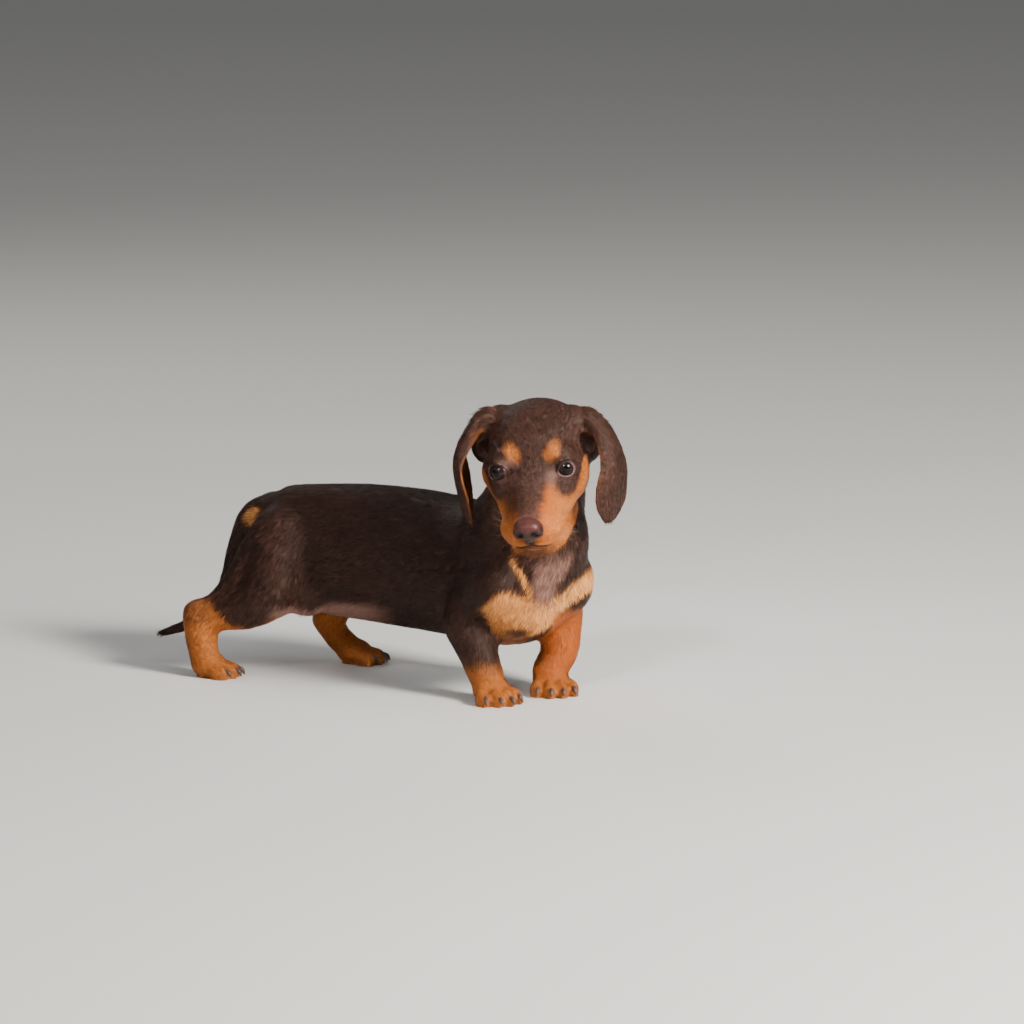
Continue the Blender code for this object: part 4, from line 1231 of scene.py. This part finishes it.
def buildLids():
    finish = Finish("lid rim", {"Roughness": 0.45, "Specular IOR Level": 0.22})
    color = finish.mix(lidSet["rim"], lidSet["outer"], finish.value("outward"))
    finish.send("Base Color", finish.mix(color, (0.02, 0.01, 0.01, 1), finish.noise(700.0) * 0.4))
    finish.bump(finish.noise(1500.0), 0.3, 0.0003)
    radius = eyeSet["radius"]
    for side, name in ((-1, "lids_right"), (1, "lids_left")):
        width, height = eyeSet["openings"][side]
        points, outward = [], []
        for step in range(lidSet["steps"]):
            angle = 2 * math.pi * step / lidSet["steps"]
            for grow, lift, shade in lidSet["profile"]:
                inward = max(0.0, math.cos(angle))
                across = math.cos(angle) * width / 2 * grow * (1 + 0.16 * inward**2)
                up = math.sin(angle) * height / 2 * grow - 0.14 * inward**3 * height / 2 * grow
                upper = 0.35 * max(0.0, math.sin(angle))
                spread = min(0.97, math.hypot(across, up) / radius)
                deep = math.sqrt(1 - spread * spread) * radius
                place = Vector((deep, -side * across, up + 0.2)).normalized()
                points.append((place * (radius + lift + upper * (grow > 1)))[:])
                outward.append(max(shade, min(1.0, 1.5 * max(0.0, math.sin(angle + 0.35)))))
        rows = len(lidSet["profile"])
        faces = []
        for step in range(lidSet["steps"]):
            after = (step + 1) % lidSet["steps"]
            for row in range(rows - 1):
                one, two = step * rows + row, after * rows + row
                faces.append((one, one + 1, two + 1, two))
        mesh = meshFrom(name, fromEye(points, side), faces)
        setValues(mesh, "outward", outward)
        piece = newPiece(name, mesh, finish.material)
        thick = piece.modifiers.new("thickness", "SOLIDIFY")
        thick.thickness = 0.5 * mm
        thick.offset = -1.0
        softer = piece.modifiers.new("softer", "SUBSURF")
        softer.levels = softer.render_levels = 1
        applied(piece)
        piece.data.shade_smooth()
        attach(piece, "root")


def buildNose():
    piece = melted(newPiece("nose_leather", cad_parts["nose"].data.copy()), noseSet["voxel"])
    mesh = piece.data
    local = toHead(pointsOf(mesh)) - noseSet["at"]
    local[:, 1] = abs(local[:, 1])
    hollow = np.maximum(blob(local, *noseSet["nostril"]), blob(local, *noseSet["slit"]))
    setValues(mesh, "hollow", hollow)
    # painted shade: the nose leather darkens towards its bottom and its sides
    setValues(mesh, "under", ramp(-local[:, 2] + 0.25 * local[:, 1], -3.0, 2.5))
    shine = {"Roughness": 0.4, "Specular IOR Level": 0.3, "Specular Tint": (1.0, 0.75, 0.7, 1)}
    finish = Finish("nose leather, liver", shine | {"Coat Weight": 0.07, "Coat Roughness": 0.2})
    place = finish.node("TexCoord", {}, {}, 3)
    pebble = finish.node("TexVoronoi", {"feature": "F1"}, {"Vector": place, "Scale": 1500.0})
    color = finish.mix(noseSet["dark"], noseSet["light"], finish.noise(300.0))
    color = finish.mix(color, noseSet["under"], finish.value("under"))
    finish.send("Base Color", finish.mix(color, noseSet["inside"], finish.value("hollow")))
    finish.bump(pebble, 0.35, 0.0002)
    mesh.materials.clear()
    mesh.materials.append(finish.material)
    mesh.shade_smooth()
    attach(piece, "root")
    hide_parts("nose")


# the claws: where each paw stands on the straight dog, its heading, the spread of its toes and its size
clawSet = {
    "paws": {
        "forepaw_right": ((13, -30, 8.4), -4, 7.4, 1.08),
        "forepaw_left": ((5, 21, 8.4), -20, 7.4, 1.08),
        "hindpaw_right": ((-240, -40, 8.4), 0, 6.8, 0.98),
        "hindpaw_left": ((-158, 36, 8.4), 4, 6.8, 0.98),
    },
    "toes": ((-1.5, 7.5), (-0.5, 12.5), (0.5, 12.5), (1.5, 7.5)),
    "turn": 9,
    "radii": ((1.75,), (1.5,), (0.45,)),
    "dark": (0.03, 0.016, 0.012, 1),
    "light": (0.10, 0.055, 0.04, 1),
}


def buildClaws():
    paths = []
    for centre, heading, splay, size in clawSet["paws"].values():
        turn = Matrix.Translation(centre) @ Matrix.Rotation(math.radians(heading), 4, "Z")
        for place, reach in clawSet["toes"]:
            yaw = math.radians(place * clawSet["turn"])
            root = Vector(((reach + 5.0) * size, place * splay * size, -1.9))
            forward = Vector((math.cos(yaw), math.sin(yaw), 0))
            tip = root + forward * 5.6 * size + Vector((0, 0, -4.4))
            bendPoint = root + forward * 3.7 * size + Vector((0, 0, -1.2))
            points = np.array([turn @ root, turn @ bendPoint, turn @ tip])
            paths.append(smoothPath(np.concatenate([toBent(points), clawSet["radii"]], axis=1), 12))
    points, faces = rods(paths, 10)
    points = np.array(points)
    points[:, 2] = np.maximum(points[:, 2], 0.1)
    finish = Finish("claw horn", {"Roughness": 0.45})
    streaks = finish.noise(400.0, 2.0, (1, 1, 0.2))
    finish.send("Base Color", finish.mix(clawSet["dark"], clawSet["light"], streaks))
    finish.bump(finish.noise(2500.0), 0.2, 0.0001)
    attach(newPiece("claws", meshFrom("claws", points, faces), finish.material), "root")


# whiskers: rows beside the muzzle, and single ones at brow and cheek, as place, length and sweep
whiskerSet = {
    "rows": 4,
    "lines": 3,
    "first": (36, 15, -22),
    "rowStep": 4.5,
    "lineStep": 4.2,
    "muzzle": (13, -0.75),
    "single": [
        (3, 17, 15, 9, -0.4),
        (0, 20, 15, 10, -0.5),
        (2, 13, 18, 8, -0.4),
        (-8, 32, -17, 10, -0.8),
    ],
    "radius": 0.085,
    "dark": (0.10, 0.06, 0.045, 1),
    "light": (0.42, 0.33, 0.27, 1),
}


def buildWhiskers():
    draw = np.random.default_rng(21)
    paths = []
    tree = surfaceTree(skin.data, skinPoints)
    lowest, highest = np.array(cadBox[0]) / mm, np.array(cadBox[1]) / mm
    x, y, z = whiskerSet["first"]
    spots = [
        (x - whiskerSet["rowStep"] * row, y, z - whiskerSet["lineStep"] * line, *whiskerSet["muzzle"])
        for row in range(whiskerSet["rows"])
        for line in range(whiskerSet["lines"])
    ]
    for side in (-1, 1):
        for x, y, z, long, backward in spots + whiskerSet["single"]:
            x, z = x + draw.normal(0, 0.7), z + draw.normal(0, 0.7)
            near = tree.find_nearest(Vector(fromHead([(x, side * y, z)])[0]))
            root = np.array(near[0][:])
            outward = np.array(near[1][:])
            droop = headTurn @ np.array([backward, 0.2 * side, -0.25 if z < 5 else 0.3])
            way = unit((outward * 0.75 + droop + draw.normal(0, 0.08, 3))[None])[0]
            long = long * draw.uniform(0.8, 1.2)
            steps = np.linspace(0, 1, 7)[:, None]
            bow = headTurn @ np.array([-0.3, 0, -0.25])
            line = root - outward * 0.3 + way * long * steps + bow * long * steps**2 * 0.4
            if (line < lowest).any() or (line > highest).any():
                continue
            paths.append(np.concatenate([line, whiskerSet["radius"] * (1 - 0.8 * steps)], axis=1))
    points, faces = rods(paths, 4)
    finish = Finish("whisker", {"Roughness": 0.35})
    color = finish.mix(whiskerSet["dark"], whiskerSet["light"], finish.noise(120.0, 1.0))
    finish.send("Base Color", color)
    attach(newPiece("whiskers", meshFrom("whiskers", points, faces), finish.material), "root")
    print("whiskers", len(paths))


buildEyes()
buildLids()
print("eyes and lids")
buildNose()
print("nose")
buildClaws()
print("claws")
buildWhiskers()

# the studio, in metres: a pale floor, one broad light ahead of the dog, softer ones behind and above
studioSet = {
    "floor": (0.74, 0.73, 0.71, 1),
    "floorHalf": 6.0,
    "lights": {
        "key": ((2.35, -0.35, 1.35), 0.7, 170, (1.0, 0.95, 0.88)),
        "fill": ((0.4, -2.6, 1.2), 1.8, 7, (0.97, 0.97, 1.0)),
        "rim": ((-1.6, 0.9, 1.5), 1.0, 9, (1.0, 0.97, 0.93)),
        "top": ((0.6, 0.1, 2.2), 1.6, 9, (1.0, 0.98, 0.96)),
        "eyes": ((0.6, -1.55, 1.25), 0.3, 0.2, (1.0, 1.0, 1.0)),
    },
    "aim": (0, 0, 0.08),
    "eyesSpread": 14,
    "world": (0.86, 0.88, 0.9, 1),
    "worldStrength": 0.17,
    "azimuth": 35.0,
    "elevation": 9.0,
    "distance": 4.2,
    "perPixel": 0.00068,
    "middle": (0.07724, 0.03315, 0.1208),
}


def buildStudio():
    build = bmesh.new()
    bmesh.ops.create_grid(build, x_segments=2, y_segments=2, size=studioSet["floorHalf"])
    finish = Finish("floor", {"Roughness": 0.7, "Base Color": studioSet["floor"]})
    newPiece("floor", meshOf(build, "floor"), finish.material)
    for name, (place, size, power, color) in studioSet["lights"].items():
        aim = Vector(studioSet["aim"])
        light = bpy.data.lights.new(name, "AREA")
        light.size = size
        light.energy = power
        light.color = color
        lamp = bpy.data.objects.new(name, light)
        lamp.location = place
        lamp.rotation_mode = "QUATERNION"
        if name == "eyes":
            light.spread = math.radians(studioSet["eyesSpread"])
            aim = Vector(fromHead(np.zeros((1, 3)))[0]) * mm
        lamp.rotation_quaternion = (aim - Vector(place)).to_track_quat("-Z", "Y")
        bpy.context.scene.collection.objects.link(lamp)
    world = bpy.data.worlds.new("studio")
    world.use_nodes = True
    background = world.node_tree.nodes["Background"]
    background.inputs[0].default_value = studioSet["world"]
    background.inputs[1].default_value = studioSet["worldStrength"]
    bpy.context.scene.world = world


def buildCamera():
    data = bpy.data.cameras.new("camera")
    camera = bpy.data.objects.new("camera", data)
    bpy.context.scene.collection.objects.link(camera)
    a, e = math.radians(studioSet["azimuth"]), math.radians(studioSet["elevation"])
    back = Vector((math.sin(a) * math.cos(e), -math.cos(a) * math.cos(e), math.sin(e)))
    camera.location = Vector(studioSet["middle"]) + back * studioSet["distance"]
    camera.rotation_mode = "QUATERNION"
    camera.rotation_quaternion = (-back).to_track_quat("-Z", "Y")
    data.sensor_width = 36
    data.lens = 36 * studioSet["distance"] / (1024 * studioSet["perPixel"])
    data.clip_end = 100
    bpy.context.scene.camera = camera


buildStudio()
buildCamera()
print("studio and camera")
print("done")
